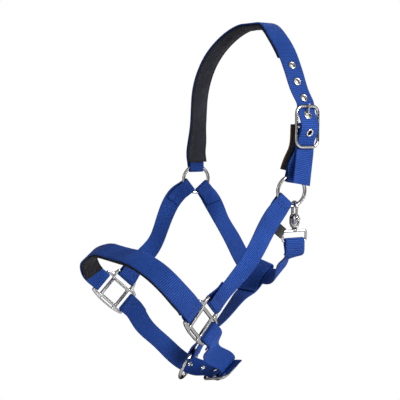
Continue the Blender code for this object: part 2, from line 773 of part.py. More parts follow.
CROWN_LINING_END = CROWN_BAR_AT - CROWN_USED - CROWN_PITCH * 3.75
lining("crown_lining", CROWN, 6 * MM, lengths(CROWN)[-1] - CROWN_LINING_END, (RING_FOLD, None))
buckle("crown_buckle_frame", CROWN_BUCKLE_CENTRE, CROWN_AXES, CROWN_BUCKLE)
tongue("crown_buckle_tongue", CROWN_BUCKLE_CENTRE, CROWN_AXES, CROWN_BUCKLE)


# ------------------------------------------------------------------ straps that carry a buckle
def buckle_end(centre, axes, size, height):
    """Frames data for a strap that ends in a fold round a buckle's centre bar."""
    _, up, outward = axes
    lift = size["bar"] + GAP + WEB_THICK / 2
    drop = height(0) - lift

    def point(d):
        slope = 0.75 * MM * math.sin(math.pi * min(d / (size["length"] / 2), 1.0)) ** 2
        return centre - up * d + outward * (height(-d) - drop - slope)
    return point


def bar_fold(size):
    return dict(half=size["bar"], tail=20 * MM)


def tongue_gap(centre, axes):
    """Room for the tongue in the fold of the strap that carries the buckle."""
    side, up, outward = axes
    return box((4.6 * MM, 18 * MM, 9 * MM), basis(centre, side, up, outward), (0, -2.5 * MM, -0.6 * MM))


def buckle_strap(name, start, start_points, centre, axes, size, height, start_fold, narrow):
    """Webbing from a ring or square up to the centre bar of a buckle."""
    side = axes[0]
    bar0, in0, _, (face0, lift0) = start
    point = buckle_end(centre, axes, size, height)
    first = bar0 + face0 * lift0
    a0 = face0.cross(-in0).normalized()
    points = [first, first - in0 * 5 * MM, first - in0 * 10 * MM] + [p for p, _ in start_points]
    across = [a0, a0, a0] + [a for _, a in start_points]
    for d in (20, 15, 10, 5, 0):
        points.append(point(d * MM))
        across.append(-side)
    frames = run(points, across, 2.5 * MM)
    forward = fold(frames, **bar_fold(size))[len(frames):]
    back = fold(mirror_run(frames), **start_fold)[len(frames):]
    path = mirror_run(back) + frames + forward
    ribbon(name, path, WEB_THICK, WEB_WIDTH, BLUE, narrow=narrow, holes=[tongue_gap(centre, axes)])


near_crown = ring_anchor(1, 80)
billet_bend = CROWN_BUCKLE_CENTRE - CROWN_AXES[1] * 27 * MM - CROWN_AXES[2] * 6.3 * MM
buckle_strap("crown_billet_strap",
                      with_lift(near_crown, RING_LIFT), [(billet_bend, -CROWN_AXES[0])],
                      CROWN_BUCKLE_CENTRE, CROWN_AXES, CROWN_BUCKLE, CROWN_HEIGHT,
                      RING_FOLD | dict(tail=23 * MM), (NARROW, None))

# chin strap: down from the far square, through the chin ring and the buckle
CHIN_AXES = buckle_axes(CHIN_BUCKLE_DOWN, Vector((0, -0.85, -0.5)))
CHIN_HEIGHT = weave(CHIN_BUCKLE)
far_chin = square_anchor(-1, "chin")
chin_start = far_chin[0] + far_chin[3] * BAR_LIFT
chin_wide = far_chin[3].cross(-far_chin[1]).normalized()


def along_chin(d):
    return CHIN_BUCKLE_CENTRE + CHIN_BUCKLE_DOWN * d


chin_points = [
    (chin_start, chin_wide), (chin_start - far_chin[1] * 6 * MM, chin_wide),
    (chin_start - far_chin[1] * 12 * MM, chin_wide),
    (v(-83, -118, -374), (-0.1, -0.9, -0.35)), (v(-63, -104, -395), (0, -0.93, -0.3)),
    (v(-42, -98, -408), (0, -0.9, -0.4)), (v(-19, -93, -416), (0, -0.87, -0.48)),
    (v(-3, -87, -420), (0, -0.86, -0.5)), (along_chin(-25 * MM), CHIN_AXES[0]),
    (along_chin(-12 * MM), CHIN_AXES[0]), (along_chin(0), CHIN_AXES[0]), (along_chin(12 * MM), CHIN_AXES[0]),
    (along_chin(25 * MM), CHIN_AXES[0]), (v(67, -86, -401.5), CHIN_AXES[0])]
chin_run = run([p for p, _ in chin_points], [a for _, a in chin_points], 3.5 * MM)
CHIN_BAR_AT = length_near(chin_run, CHIN_BUCKLE_CENTRE)
CHIN = woven(chin_run, CHIN_HEIGHT, CHIN_BAR_AT, 75 * MM)
CHIN_BAR_AT = length_near(CHIN, CHIN_BUCKLE_CENTRE + CHIN_AXES[2] * CHIN_HEIGHT(0))
chin_fold = fold(mirror_run(CHIN), **BAR_FOLD)
chin_path = mirror_run(chin_fold[len(CHIN):]) + CHIN
CHIN_USED = 14.0 * MM
CHIN_PITCH = 20.0 * MM
chin_eyelets = [at_length(CHIN, CHIN_BAR_AT - CHIN_USED - CHIN_PITCH * k) for k in (2, 1, 0)]
chin_holes = [eyelet_hole(f) for f in chin_eyelets[:2]]
chin_holes.append(tongue_slot(at_length(CHIN, CHIN_BAR_AT - CHIN_USED + 1.2 * MM)))
ribbon("chin_strap_far", chin_path, WEB_THICK, WEB_WIDTH, BLUE, holes=chin_holes)
for k, f in enumerate(chin_eyelets):
    if k == 2:
        eyelet("chin_eyelet_3", f, barrel=False, inner=3.2 * MM, outer=5.2 * MM)
    else:
        eyelet("chin_eyelet_%d" % (k + 1), f)
buckle("chin_buckle_frame", CHIN_BUCKLE_CENTRE, CHIN_AXES, CHIN_BUCKLE)
tongue("chin_buckle_tongue", CHIN_BUCKLE_CENTRE, CHIN_AXES, CHIN_BUCKLE)
near_chin = square_anchor(1, "chin")
buckle_strap(
    "chin_strap_near", with_lift(near_chin, BAR_LIFT),
    [(v(71.5, -127.5, -367.5), (0.1, 0.80, 0.60)), (v(59.5, -95.5, -392), (0.02, 0.84, 0.54))],
    CHIN_BUCKLE_CENTRE, CHIN_AXES, CHIN_BUCKLE, CHIN_HEIGHT, BAR_FOLD, (None, None))


# billet padding: a black pad and a leather backing on the horse's side
def billet_pad(name, depth, thick, width, colour):
    """Pad from just above the near ring to behind the centre bar of the crown buckle."""
    side, up, outward = CROWN_AXES
    wire, inward, _, face = near_crown
    low = wire - inward * 5 * MM - face * (RING_LIFT + WEB_THICK / 2 + 0.6 * MM + depth)
    bend = CROWN_BUCKLE_CENTRE - up * 27 * MM - outward * (12.2 * MM + depth)
    top = CROWN_BUCKLE_CENTRE + up * 3 * MM - outward * (7.2 * MM + depth)
    wide = face.cross(-inward)
    frames = run([low, low.lerp(bend, 0.5), bend, top], [wide, wide, -side, -side])
    ribbon(name, frames, thick, width, colour, 0.9)


billet_pad("billet_lining", GAP + LINING_THICK / 2, LINING_THICK, LINING_WIDTH, BLACK)
billet_pad("billet_backing", GAP * 7 + LINING_THICK + BACKING_THICK / 2, BACKING_THICK, 26 * MM, BROWN)


# ------------------------------------------------------------------ throat strap and snap
SNAP_TOP = ring_anchor(1, 285)
SNAP_AXIS = Vector((0, 0, -1))
SNAP_WIRE = SNAP_TOP[0]
SNAP_LEVEL, _, SNAP_NORMAL = ring_axes()
SNAP_EYE_TOP = 30.0 * MM
SNAP_EYE_LOW = 42.0 * MM
SNAP_BAR = 1.6 * MM


def snap_point(outward, level, down):
    return SNAP_WIRE + SNAP_NORMAL * outward * MM + SNAP_LEVEL * level * MM + SNAP_AXIS * down * MM


SNAP_BORE = basis(snap_point(5.0, 0, 0), SNAP_NORMAL, -SNAP_LEVEL, SNAP_AXIS)


def snap_hook(name):
    """Body with a hook over the ring wire and a bore for the sliding bolt."""
    place = basis(SNAP_WIRE, SNAP_NORMAL, -SNAP_LEVEL, SNAP_AXIS)
    profile = ((0, 10 * MM), (5.0 * MM, 10 * MM), (7.0 * MM, 12 * MM), (7.8 * MM, 15 * MM),
               (7.8 * MM, 21 * MM), (6.2 * MM, 25 * MM), (3.6 * MM, 27.2 * MM), (0, 27.2 * MM))
    obj = finish(name, lathe(profile, place, 20, squash=0.68), CHROME, 0.18, 1.0)
    arch = [snap_point(-5.0, 0, 13.0), snap_point(-5.0, 0, 8.0), snap_point(-5.0, 0, 2.0)]
    for k in range(1, 8):
        angle = math.pi * (1 - k / 8)
        arch.append(snap_point(5.0 * math.cos(angle), 0, 0.7 - 5.0 * math.sin(angle)))
    arch += [snap_point(5.0, 0, 0.7), snap_point(5.0, 0, 3.4)]
    apply_boolean(obj, tube(arch, 1.9 * MM, 12, up=SNAP_LEVEL), "UNION")
    cut(obj, cylinder(1.85 * MM, 5.5 * MM, 25.0 * MM, SNAP_BORE, 16))
    cut(obj, box((6 * MM, 3.7 * MM, 11.6 * MM), SNAP_BORE, (3.0 * MM, 0, 19.2 * MM)))
    set_origin(obj, SNAP_WIRE)


def snap_bolt(name):
    """Sliding pin that closes the hook, with the thumb knob that draws it back."""
    obj = finish(name, cylinder(1.5 * MM, 3.8 * MM, 16.2 * MM, SNAP_BORE, 16), CHROME, 0.2, 1.0)
    knob_place = basis(snap_point(5.0, 0, 15.0), SNAP_LEVEL, SNAP_AXIS, SNAP_NORMAL)
    knob = ((0, 0), (1.2 * MM, 0), (1.2 * MM, 3.4 * MM), (2.3 * MM, 4.0 * MM), (2.3 * MM, 5.2 * MM),
            (1.6 * MM, 5.9 * MM), (0, 6.0 * MM))
    apply_boolean(obj, lathe(knob, knob_place, 12), "UNION")
    set_origin(obj, snap_point(5.0, 0, 10.0))


def snap_eye(name):
    """Rectangular strap eye with a short swivel post."""
    x = WEB_WIDTH / 2 + 1.2 * MM + SNAP_BAR
    corner = 2.5 * MM
    low = SNAP_EYE_LOW
    high = SNAP_EYE_TOP
    pts = []
    for cx, cz, start in ((x - corner, high + corner, 270), (x - corner, low - corner, 0),
                          (-x + corner, low - corner, 90), (-x + corner, high + corner, 180)):
        for k in range(4):
            angle = math.radians(start + 30 * k)
            level = cx + corner * math.cos(angle)
            down = cz + corner * math.sin(angle)
            pts.append(SNAP_WIRE + SNAP_LEVEL * level + SNAP_AXIS * down)
    obj = finish(name, tube(pts, SNAP_BAR, 12, closed=True, up=SNAP_NORMAL), CHROME, 0.18, 1.0)
    post = basis(SNAP_WIRE, SNAP_NORMAL, -SNAP_LEVEL, SNAP_AXIS)
    stem = ((0, 27.5 * MM), (3.2 * MM, 27.5 * MM), (2.4 * MM, 30.4 * MM), (0, 30.4 * MM))
    apply_boolean(obj, lathe(stem, post, 16), "UNION")


snap_hook("snap_hook")
snap_bolt("snap_bolt")
snap_eye("snap_swivel_eye")

far_throat = ring_anchor(-1, 310.5)
eye_lift = SNAP_BAR + GAP + WEB_THICK / 2
eye_bar = SNAP_WIRE + SNAP_AXIS * SNAP_EYE_LOW
throat_points = [(v(-70, -3, -240), (0, -0.95, -0.3)), (v(-48, 4, -273), (0, -0.9, -0.42)),
                 (v(-26, 17, -309), (0, -0.72, -0.69)), (v(-12, 19, -313), (0, -0.68, -0.73)),
                 (v(2, 20, -315), (0, -0.68, -0.73)),
                 (v(45, 4, -298), (-0.1, -0.75, -0.65)), (v(74, -14, -277), (-0.15, -0.9, -0.4))]
THROAT = folded_strap(
    "throat_strap",
    with_lift(far_throat, -RING_LIFT),
    (eye_bar, -SNAP_AXIS, SNAP_LEVEL, (SNAP_NORMAL, eye_lift)),
    throat_points, RING_FOLD, dict(half=SNAP_BAR, tail=20 * MM), narrow=(NARROW, None))

# jaw strap: from a loop round the throat strap forward to the chin ring
throat_middle = at_length(THROAT, length_near(THROAT, v(-12, 19, -313)))
_, _, throat_side, throat_out = throat_middle
JAW_HALF = WEB_THICK / 2 + 1.2 * MM
jaw_lift = JAW_HALF + GAP + WEB_THICK / 2
jaw_in = (throat_side if throat_side.z > 0 else -throat_side)
jaw_top = throat_middle[0] + throat_out * jaw_lift
chin_radial = (CHIN_RING_TOP - CHIN_RING_NORMAL * CHIN_RING_TOP.dot(CHIN_RING_NORMAL)).normalized()
chin_wire = CHIN_RING_CENTRE + chin_radial * CHIN_RING_RADIUS
jaw_end = chin_wire + CHIN_RING_NORMAL * CHIN_LIFT
end_wide = CHIN_RING_NORMAL.cross(-chin_radial).normalized()
start_wide = throat_out.cross(-jaw_in).normalized()
jaw_points = [(jaw_top, start_wide), (jaw_top - jaw_in * 8 * MM, start_wide),
              (jaw_top - jaw_in * 16 * MM, start_wide),
              (v(-3, -22, -338), (-1, 0.05, 0.0)), (v(-2, -52, -362), (-0.93, 0.3, -0.1)),
              (jaw_end + chin_radial * 11 * MM, end_wide), (jaw_end + chin_radial * 5 * MM, end_wide),
              (jaw_end, end_wide)]
jaw_run = run([p for p, _ in jaw_points], [a for _, a in jaw_points])
jaw_head = fold(mirror_run(jaw_run), JAW_HALF, reach=WEB_WIDTH / 2 + 1.0 * MM, slot=WEB_WIDTH / 2 + 1.0 * MM,
                tail=36 * MM)[len(jaw_run):]
jaw_tail = fold(jaw_run, **CHIN_FOLD)[len(jaw_run):]
jaw_path = mirror_run(jaw_head) + jaw_run + jaw_tail
ribbon("jaw_strap", jaw_path, WEB_THICK, WEB_WIDTH, BLUE, narrow=(None, NARROW))

# small blank tag sewn to the rear edge of the near cheek strap
tag_frame = at_length(CHEEK_NEAR, lengths(CHEEK_NEAR)[-1] - 28 * MM)
tag_out = tag_frame[2] if tag_frame[2].y > 0 else -tag_frame[2]
tag_place = basis(tag_frame[0] + tag_out * (WEB_WIDTH / 2 + GAP + 5 * MM), tag_out, tag_frame[1],
                  tag_out.cross(tag_frame[1]))
finish("blank_tag", box((10 * MM, 14 * MM, 1.4 * MM), tag_place), BLACK, 0.6)
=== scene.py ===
"""Looks of the padded head halter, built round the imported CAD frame.

Every strap follows the sections of its CAD solid: woven webbing with real ribs, sewn folds,
padded linings and a leather backing. The metal is rebuilt smooth from the CAD solids.
"""
import json
import math

import bmesh
import bpy
import numpy as np
from mathutils import Matrix, Vector

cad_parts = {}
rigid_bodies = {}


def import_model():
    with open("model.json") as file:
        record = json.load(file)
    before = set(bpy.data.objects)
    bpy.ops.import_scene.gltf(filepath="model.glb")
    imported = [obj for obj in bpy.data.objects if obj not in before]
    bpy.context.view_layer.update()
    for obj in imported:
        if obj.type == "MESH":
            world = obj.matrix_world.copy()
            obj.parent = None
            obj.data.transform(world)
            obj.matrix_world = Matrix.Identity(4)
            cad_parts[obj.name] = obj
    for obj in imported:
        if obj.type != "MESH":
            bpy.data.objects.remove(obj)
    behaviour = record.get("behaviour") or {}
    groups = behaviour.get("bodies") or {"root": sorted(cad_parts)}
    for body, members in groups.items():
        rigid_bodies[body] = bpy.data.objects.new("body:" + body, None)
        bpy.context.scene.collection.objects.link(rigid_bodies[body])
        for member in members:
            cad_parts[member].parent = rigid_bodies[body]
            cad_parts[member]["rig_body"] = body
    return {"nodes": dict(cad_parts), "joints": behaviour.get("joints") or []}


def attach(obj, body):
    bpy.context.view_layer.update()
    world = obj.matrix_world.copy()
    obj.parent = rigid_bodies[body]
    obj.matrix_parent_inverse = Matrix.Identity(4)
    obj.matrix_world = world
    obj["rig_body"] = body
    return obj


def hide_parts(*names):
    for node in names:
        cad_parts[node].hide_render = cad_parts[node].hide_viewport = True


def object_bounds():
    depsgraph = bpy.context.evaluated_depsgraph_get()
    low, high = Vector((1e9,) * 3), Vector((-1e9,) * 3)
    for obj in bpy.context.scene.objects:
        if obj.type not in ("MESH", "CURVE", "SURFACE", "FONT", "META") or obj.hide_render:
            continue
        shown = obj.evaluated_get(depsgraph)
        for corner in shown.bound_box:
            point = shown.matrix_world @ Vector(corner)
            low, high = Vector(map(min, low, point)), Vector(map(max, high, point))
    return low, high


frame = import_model()
cad_low, cad_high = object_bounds()
NODES = frame["nodes"]
JOINTS = {joint["name"]: joint for joint in frame["joints"]}
MM = 0.001

RIB = 2.15 * MM                 # pitch of the cross ribs of the webbing
RIB_DEPTH = 0.42 * MM
RIB_SAMPLES = 6                 # stations per rib
YARN = 0.9 * MM                 # pitch of the lengthwise yarns
BASKET = 0.75 * MM              # pitch of the padding's cloth
SEAM_PULL = 0.42 * MM           # how deep a row of stitching pulls webbing in
PAD_STEP = 2.5 * MM             # stations along a lining
CHANNEL = 3.6 * MM              # sewn channel to the lining's edge
SEAM_ROWS = (10.5 * MM, 14.0 * MM)   # rows of stitching, from the bar a strap turns round


# ------------------------------------------------------------------ node materials
class Shader:
    """A Principled material and short calls for the nodes that feed it."""

    def __init__(self, name, **values):
        self.mat = bpy.data.materials.new(name)
        self.mat.use_nodes = True
        self.tree = self.mat.node_tree
        self.bsdf = self.tree.nodes["Principled BSDF"]
        for key, value in values.items():
            self.bsdf.inputs[key.replace("_", " ")].default_value = value

    def node(self, kind, inputs=None, **settings):
        made = self.tree.nodes.new(kind)
        for key, value in settings.items():
            setattr(made, key, value)
        for key, value in (inputs or {}).items():
            if isinstance(value, bpy.types.NodeSocket):
                self.tree.links.new(value, made.inputs[key])
            else:
                made.inputs[key].default_value = value
        return made

    def math(self, operation, a, b=0.0, clamp=False):
        made = self.node("ShaderNodeMath", {0: a, 1: b}, operation=operation, use_clamp=clamp)
        return made.outputs[0]

    def noise(self, vector, scale, detail=4.0, roughness=0.5):
        made = self.node("ShaderNodeTexNoise", {"Vector": vector, "Scale": scale, "Detail": detail,
                                                "Roughness": roughness})
        return made.outputs["Fac"]

    def mix(self, factor, low, high):
        made = self.node("ShaderNodeMix", {0: factor, 6: low, 7: high}, data_type="RGBA")
        return made.outputs[2]

    def ramp(self, factor, low, high, start=0.0, end=1.0):
        made = self.node("ShaderNodeMapRange", {0: factor, 1: start, 2: end, 3: low, 4: high})
        return made.outputs[0]

    def feed(self, name, socket):
        self.tree.links.new(socket, self.bsdf.inputs[name])

    def bump(self, height, distance, strength=1.0, normal=None):
        inputs = {"Height": height, "Distance": distance, "Strength": strength}
        if normal is not None:
            inputs["Normal"] = normal
        return self.node("ShaderNodeBump", inputs).outputs["Normal"]


def colour(r, g, b):
    return (r, g, b, 1.0)


def webbing_material(name, dark, light, painted_groove_shade, gloss):
    """Ribbed nylon: fine lengthwise yarns over the modelled ribs, painted shade in the grooves and slight
    fading.
    """
    sh = Shader(name, Roughness=gloss, Sheen_Weight=0.04, Sheen_Roughness=0.4,
                Sheen_Tint=colour(0.3, 0.5, 1.0), Specular_IOR_Level=0.22,
                Specular_Tint=colour(0.55, 0.7, 1.0))
    uv = sh.node("ShaderNodeUVMap", uv_map="cloth").outputs[0]
    split = sh.node("ShaderNodeSeparateXYZ", {0: uv})
    across, along = split.outputs[0], split.outputs[1]
    place = sh.node("ShaderNodeTexCoord").outputs["Object"]
    wobble = sh.math("MULTIPLY", sh.noise(place, 900.0, 2.0), 0.9)
    yarn = sh.math("SINE", sh.math("ADD", sh.math("MULTIPLY", across, 2 * math.pi / YARN), wobble))
    fibre = sh.noise(place, 2600.0, 3.0, 0.6)
    rib = sh.math("ABSOLUTE", sh.math("SINE", sh.math("MULTIPLY", along, math.pi / RIB)))
    groove = sh.ramp(rib, 1.0, 0.0, 0.05, 0.75)
    fade = sh.noise(place, 28.0, 3.0)
    tone = sh.math("ADD", sh.ramp(fade, 0.25, 0.75, 0.3, 0.7), sh.math("MULTIPLY", yarn, 0.06), clamp=True)
    cloth = sh.mix(tone, dark, light)
    # Painted shade: the colour is pulled towards a near-black blue in the grooves between the ribs.
    sh.feed("Base Color", sh.mix(sh.math("MULTIPLY", groove, 0.88), cloth, painted_groove_shade))
    sh.feed("Roughness", sh.ramp(fibre, gloss - 0.06, gloss + 0.12))
    relief = sh.math("ADD", sh.math("MULTIPLY", yarn, 0.5), sh.math("MULTIPLY", fibre, 0.8))
    sh.feed("Normal", sh.bump(relief, 0.00005, 0.5))
    return sh.mat


def padding_material(name, low, high):
    """Close charcoal cloth over foam: a fine basket weave, lint and rubbed high spots."""
    sh = Shader(name, Roughness=0.8, Sheen_Weight=0.06, Sheen_Roughness=0.5, Specular_IOR_Level=0.2)
    place = sh.node("ShaderNodeTexCoord").outputs["Object"]
    uv = sh.node("ShaderNodeUVMap", uv_map="cloth").outputs[0]
    split = sh.node("ShaderNodeSeparateXYZ", {0: uv})
    pitch = 2 * math.pi / BASKET
    warp = sh.math("SINE", sh.math("MULTIPLY", split.outputs[0], pitch))
    weft = sh.math("SINE", sh.math("MULTIPLY", split.outputs[1], pitch))
    basket = sh.math("MULTIPLY", warp, weft)
    lint = sh.noise(place, 1800.0, 4.0, 0.65)
    patch = sh.noise(place, 35.0, 3.0)
    tone = sh.math("ADD", sh.ramp(patch, 0.15, 0.7, 0.3, 0.7), sh.math("MULTIPLY", basket, 0.12))
    tone = sh.math("ADD", tone, sh.ramp(lint, -0.12, 0.2), clamp=True)
    sh.feed("Base Color", sh.mix(tone, low, high))
    sh.feed("Normal", sh.bump(sh.math("ADD", basket, lint), 0.00008, 0.7))
    return sh.mat


def leather_material(name):
    """Brown leather: pebbled grain, darker creases and polished high spots."""
    sh = Shader(name, Roughness=0.45, Specular_IOR_Level=0.45)
    place = sh.node("ShaderNodeTexCoord").outputs["Object"]
    cells = sh.node("ShaderNodeTexVoronoi", {"Vector": place, "Scale": 900.0}, feature="SMOOTH_F1")
    grain = sh.ramp(cells.outputs["Distance"], 1.0, 0.0, 0.1, 0.7)
    tone = sh.noise(place, 90.0, 5.0, 0.6)
    worn = sh.ramp(tone, 0.0, 0.8, 0.3, 0.7)
    mixed = sh.math("ADD", sh.math("MULTIPLY", grain, 0.35), worn, clamp=True)
    sh.feed("Base Color", sh.mix(mixed, colour(0.045, 0.018, 0.011), colour(0.15, 0.075, 0.045)))
    sh.feed("Roughness", sh.ramp(grain, 0.6, 0.38))
    sh.feed("Normal", sh.bump(sh.math("ADD", grain, tone), 0.00012, 0.8))
    return sh.mat


def metal_material(name, bright, rough, scratch=0.5):
    """Polished plate: faint drawn scratches, small smudges and painted shade that darkens the edges turned
    away from the view.
    """
    sh = Shader(name, Metallic=1.0, Roughness=rough, Specular_Tint=colour(0.25, 0.25, 0.26))
    place = sh.node("ShaderNodeTexCoord").outputs["Object"]
    stretched = sh.node("ShaderNodeMapping", {"Vector": place, "Scale": (300.0, 300.0, 5200.0)}).outputs[0]
    lines = sh.noise(stretched, 1.0, 3.0, 0.6)
    smudge = sh.noise(place, 120.0, 4.0, 0.6)
    dull = sh.ramp(smudge, 0.0, 1.0, 0.35, 0.75)
    r, g, b = bright
    plate = sh.mix(dull, colour(r, g, b), colour(r * 0.84, g * 0.83, b * 0.82))
    # Painted shade: the colour goes near black where the surface turns away from the view, drawing dark
    # outlines.
    slant = sh.node("ShaderNodeLayerWeight", {"Blend": 0.5}).outputs["Facing"]
    rim = sh.ramp(slant, 0.0, 0.94, 0.30, 0.72)
    sh.feed("Base Color", sh.mix(rim, plate, colour(0.035, 0.035, 0.038)))
    rough_now = sh.math("ADD", sh.ramp(smudge, rough - 0.02, rough + 0.05, 0.3, 0.7),
                        sh.math("MULTIPLY", lines, 0.03))
    sh.feed("Roughness", rough_now)
    sh.feed("Normal", sh.bump(sh.math("ADD", lines, sh.math("MULTIPLY", smudge, 0.6)), 0.00002, scratch))
    return sh.mat


def thread_material(name, base, lift):
    """Twisted sewing thread."""
    sh = Shader(name, Roughness=0.5, Sheen_Weight=0.2)
    place = sh.node("ShaderNodeTexCoord").outputs["Object"]
    twist = sh.noise(place, 3200.0, 2.0)
    sh.feed("Base Color", sh.mix(twist, base, lift))
    sh.feed("Normal", sh.bump(twist, 0.00005, 0.8))
    return sh.mat


def rubber_material(name):
    """Plain moulded rubber with a fine spark texture."""
    sh = Shader(name, Roughness=0.5, Specular_IOR_Level=0.25)
    place = sh.node("ShaderNodeTexCoord").outputs["Object"]
    spark = sh.noise(place, 2200.0, 4.0, 0.6)
    sh.feed("Base Color", sh.mix(spark, colour(0.006, 0.006, 0.007), colour(0.018, 0.018, 0.020)))
    sh.feed("Normal", sh.bump(spark, 0.00006, 0.6))
    return sh.mat


# The fourth colour is the painted shade laid into the webbing's grooves.
WEBBING = webbing_material("webbing_blue", colour(0.010, 0.042, 0.22), colour(0.026, 0.092, 0.43),
                           colour(0.001, 0.006, 0.045), 0.6)
PADDING = padding_material("padding_charcoal", colour(0.011, 0.0115, 0.016), colour(0.038, 0.039, 0.053))
# A darker copy of the padding cloth: painted shade for the noseband lining's shaded inside.
PADDING_IN_SHADE = padding_material("padding_painted_shade", colour(0.005, 0.005, 0.006), colour(0.017, 0.017, 0.020))
LEATHER = leather_material("leather_brown")
CHROME = metal_material("hardware_polished", (0.72, 0.71, 0.70), 0.09, 0.15)
CAST = metal_material("hardware_cast", (0.78, 0.77, 0.755), 0.12, 0.25)
EYELET = metal_material("hardware_eyelet", (0.84, 0.82, 0.78), 0.22, 0.2)
BLUE_THREAD = thread_material("thread_blue", colour(0.006, 0.02, 0.14), colour(0.02, 0.07, 0.36))
BLACK_THREAD = thread_material("thread_black", colour(0.010, 0.010, 0.012), colour(0.045, 0.045, 0.05))
TAG = rubber_material("tag_rubber")


# ------------------------------------------------------------------ meshes
def add_mesh(name, verts, faces, material, uvs=None, smooth=True):
    mesh = bpy.data.meshes.new(name)
    mesh.from_pydata([tuple(p) for p in verts], [], faces)
    mesh.polygons.foreach_set("use_smooth", [smooth] * len(mesh.polygons))
    if uvs is not None:
        layer = mesh.uv_layers.new(name="cloth")
        loops = np.zeros(len(mesh.loops), int)
        mesh.loops.foreach_get("vertex_index", loops)
        layer.data.foreach_set("uv", np.asarray(uvs, float)[loops].ravel())
    mesh.materials.append(material)
    mesh.validate()
    obj = bpy.data.objects.new(name, mesh)
    bpy.context.scene.collection.objects.link(obj)
    return obj


def place_piece(obj, node):
    """The piece rides on its CAD node's body and stands for the node, which is hidden."""
    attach(obj, NODES[node]["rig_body"])
    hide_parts(node)
    return obj


def trim(obj, node):
    """An added detail, such as stitching, that rides with a node."""
    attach(obj, NODES[node]["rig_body"])
    return obj


def applied(obj):
    """Replace an object's mesh by what its modifiers make of it."""
    bpy.context.view_layer.update()
    graph = bpy.context.evaluated_depsgraph_get()
    mesh = bpy.data.meshes.new_from_object(obj.evaluated_get(graph))
    obj.modifiers.clear()
    obj.data = mesh
    return obj


# ------------------------------------------------------------------ strap sections from the CAD
def sharp_links(node):
    """Corner points of a strap solid and, for each, its neighbours along sharp edges."""
    bm = bmesh.new()
    bm.from_mesh(NODES[node].data)
    bmesh.ops.remove_doubles(bm, verts=bm.verts, dist=2e-6)
    bm.verts.index_update()
    links = {}
    for edge in bm.edges:
        if len(edge.link_faces) == 2 and edge.calc_face_angle() > math.radians(50):
            a, b = (vert.index for vert in edge.verts)
            links.setdefault(a, set()).add(b)
            links.setdefault(b, set()).add(a)
    points = [vert.co.copy() for vert in bm.verts]
    bm.free()
    return points, links


def largest_group(links):
    """The largest set of corner points joined by sharp edges."""
    left = set(links)
    best = set()
    while left:
        todo = [left.pop()]
        group = set(todo)
        while todo:
            for k in links[todo.pop()]:
                if k not in group:
                    group.add(k)
                    todo.append(k)
                    left.discard(k)
        if len(group) > len(best):
            best = group
    return best


def end_caps(links, group):
    """The two four-cornered ends of a strap, each as its corners in order."""
    forks = sorted(k for k in group if len(links[k]) == 3)
    caps = []
    for a in forks:
        for b in sorted(links[a]):
            for c in sorted(links[b]):
                for d in sorted(links[c]):
                    loop = (a, b, c, d)
                    if len(set(loop)) == 4 and set(loop) <= set(forks) and a in links[d]:
                        if not any(set(loop) == set(cap) for cap in caps):
                            caps.append(loop)
    return caps


END_TURN = 0.4                  # a long edge that turns harder than this has reached its end


def edge_chains(node):
    """The four long edges of a strap solid as lists of points, wide pairs first."""
    points, links = sharp_links(node)
    caps = end_caps(links, largest_group(links))
    first = list(caps[0])
    if (points[first[0]] - points[first[1]]).length < (points[first[1]] - points[first[2]]).length:
        first = first[1:] + first[:1]
    ends = set().union(*caps)
    chains = []
    for start in first:
        before = start
        now = [k for k in links[start] if k not in caps[0]][0]
        chain = [points[start], points[now]]
        while now not in ends:
            heading = (points[now] - points[before]).normalized()
            turns = [((points[k] - points[now]).normalized().dot(heading), k) for k in sorted(links[now])
                     if k != before]
            straightest, after = max(turns)
            if straightest < END_TURN:
                break
            before, now = now, after
            chain.append(points[now])
        chains.append(np.array([tuple(p) for p in chain]))
    return chains


def evened(chain, count):
    """A chain of points resampled to a given number, evenly by length."""
    knots = np.concatenate([[0], np.cumsum(np.linalg.norm(np.diff(chain, axis=0), axis=1))])
    at = np.linspace(0, knots[-1], count)
    return np.stack([np.interp(at, knots, chain[:, k]) for k in range(3)], axis=1)


def unit(vectors):
    """Vectors brought to length one."""
    return vectors / np.linalg.norm(vectors, axis=-1, keepdims=True)


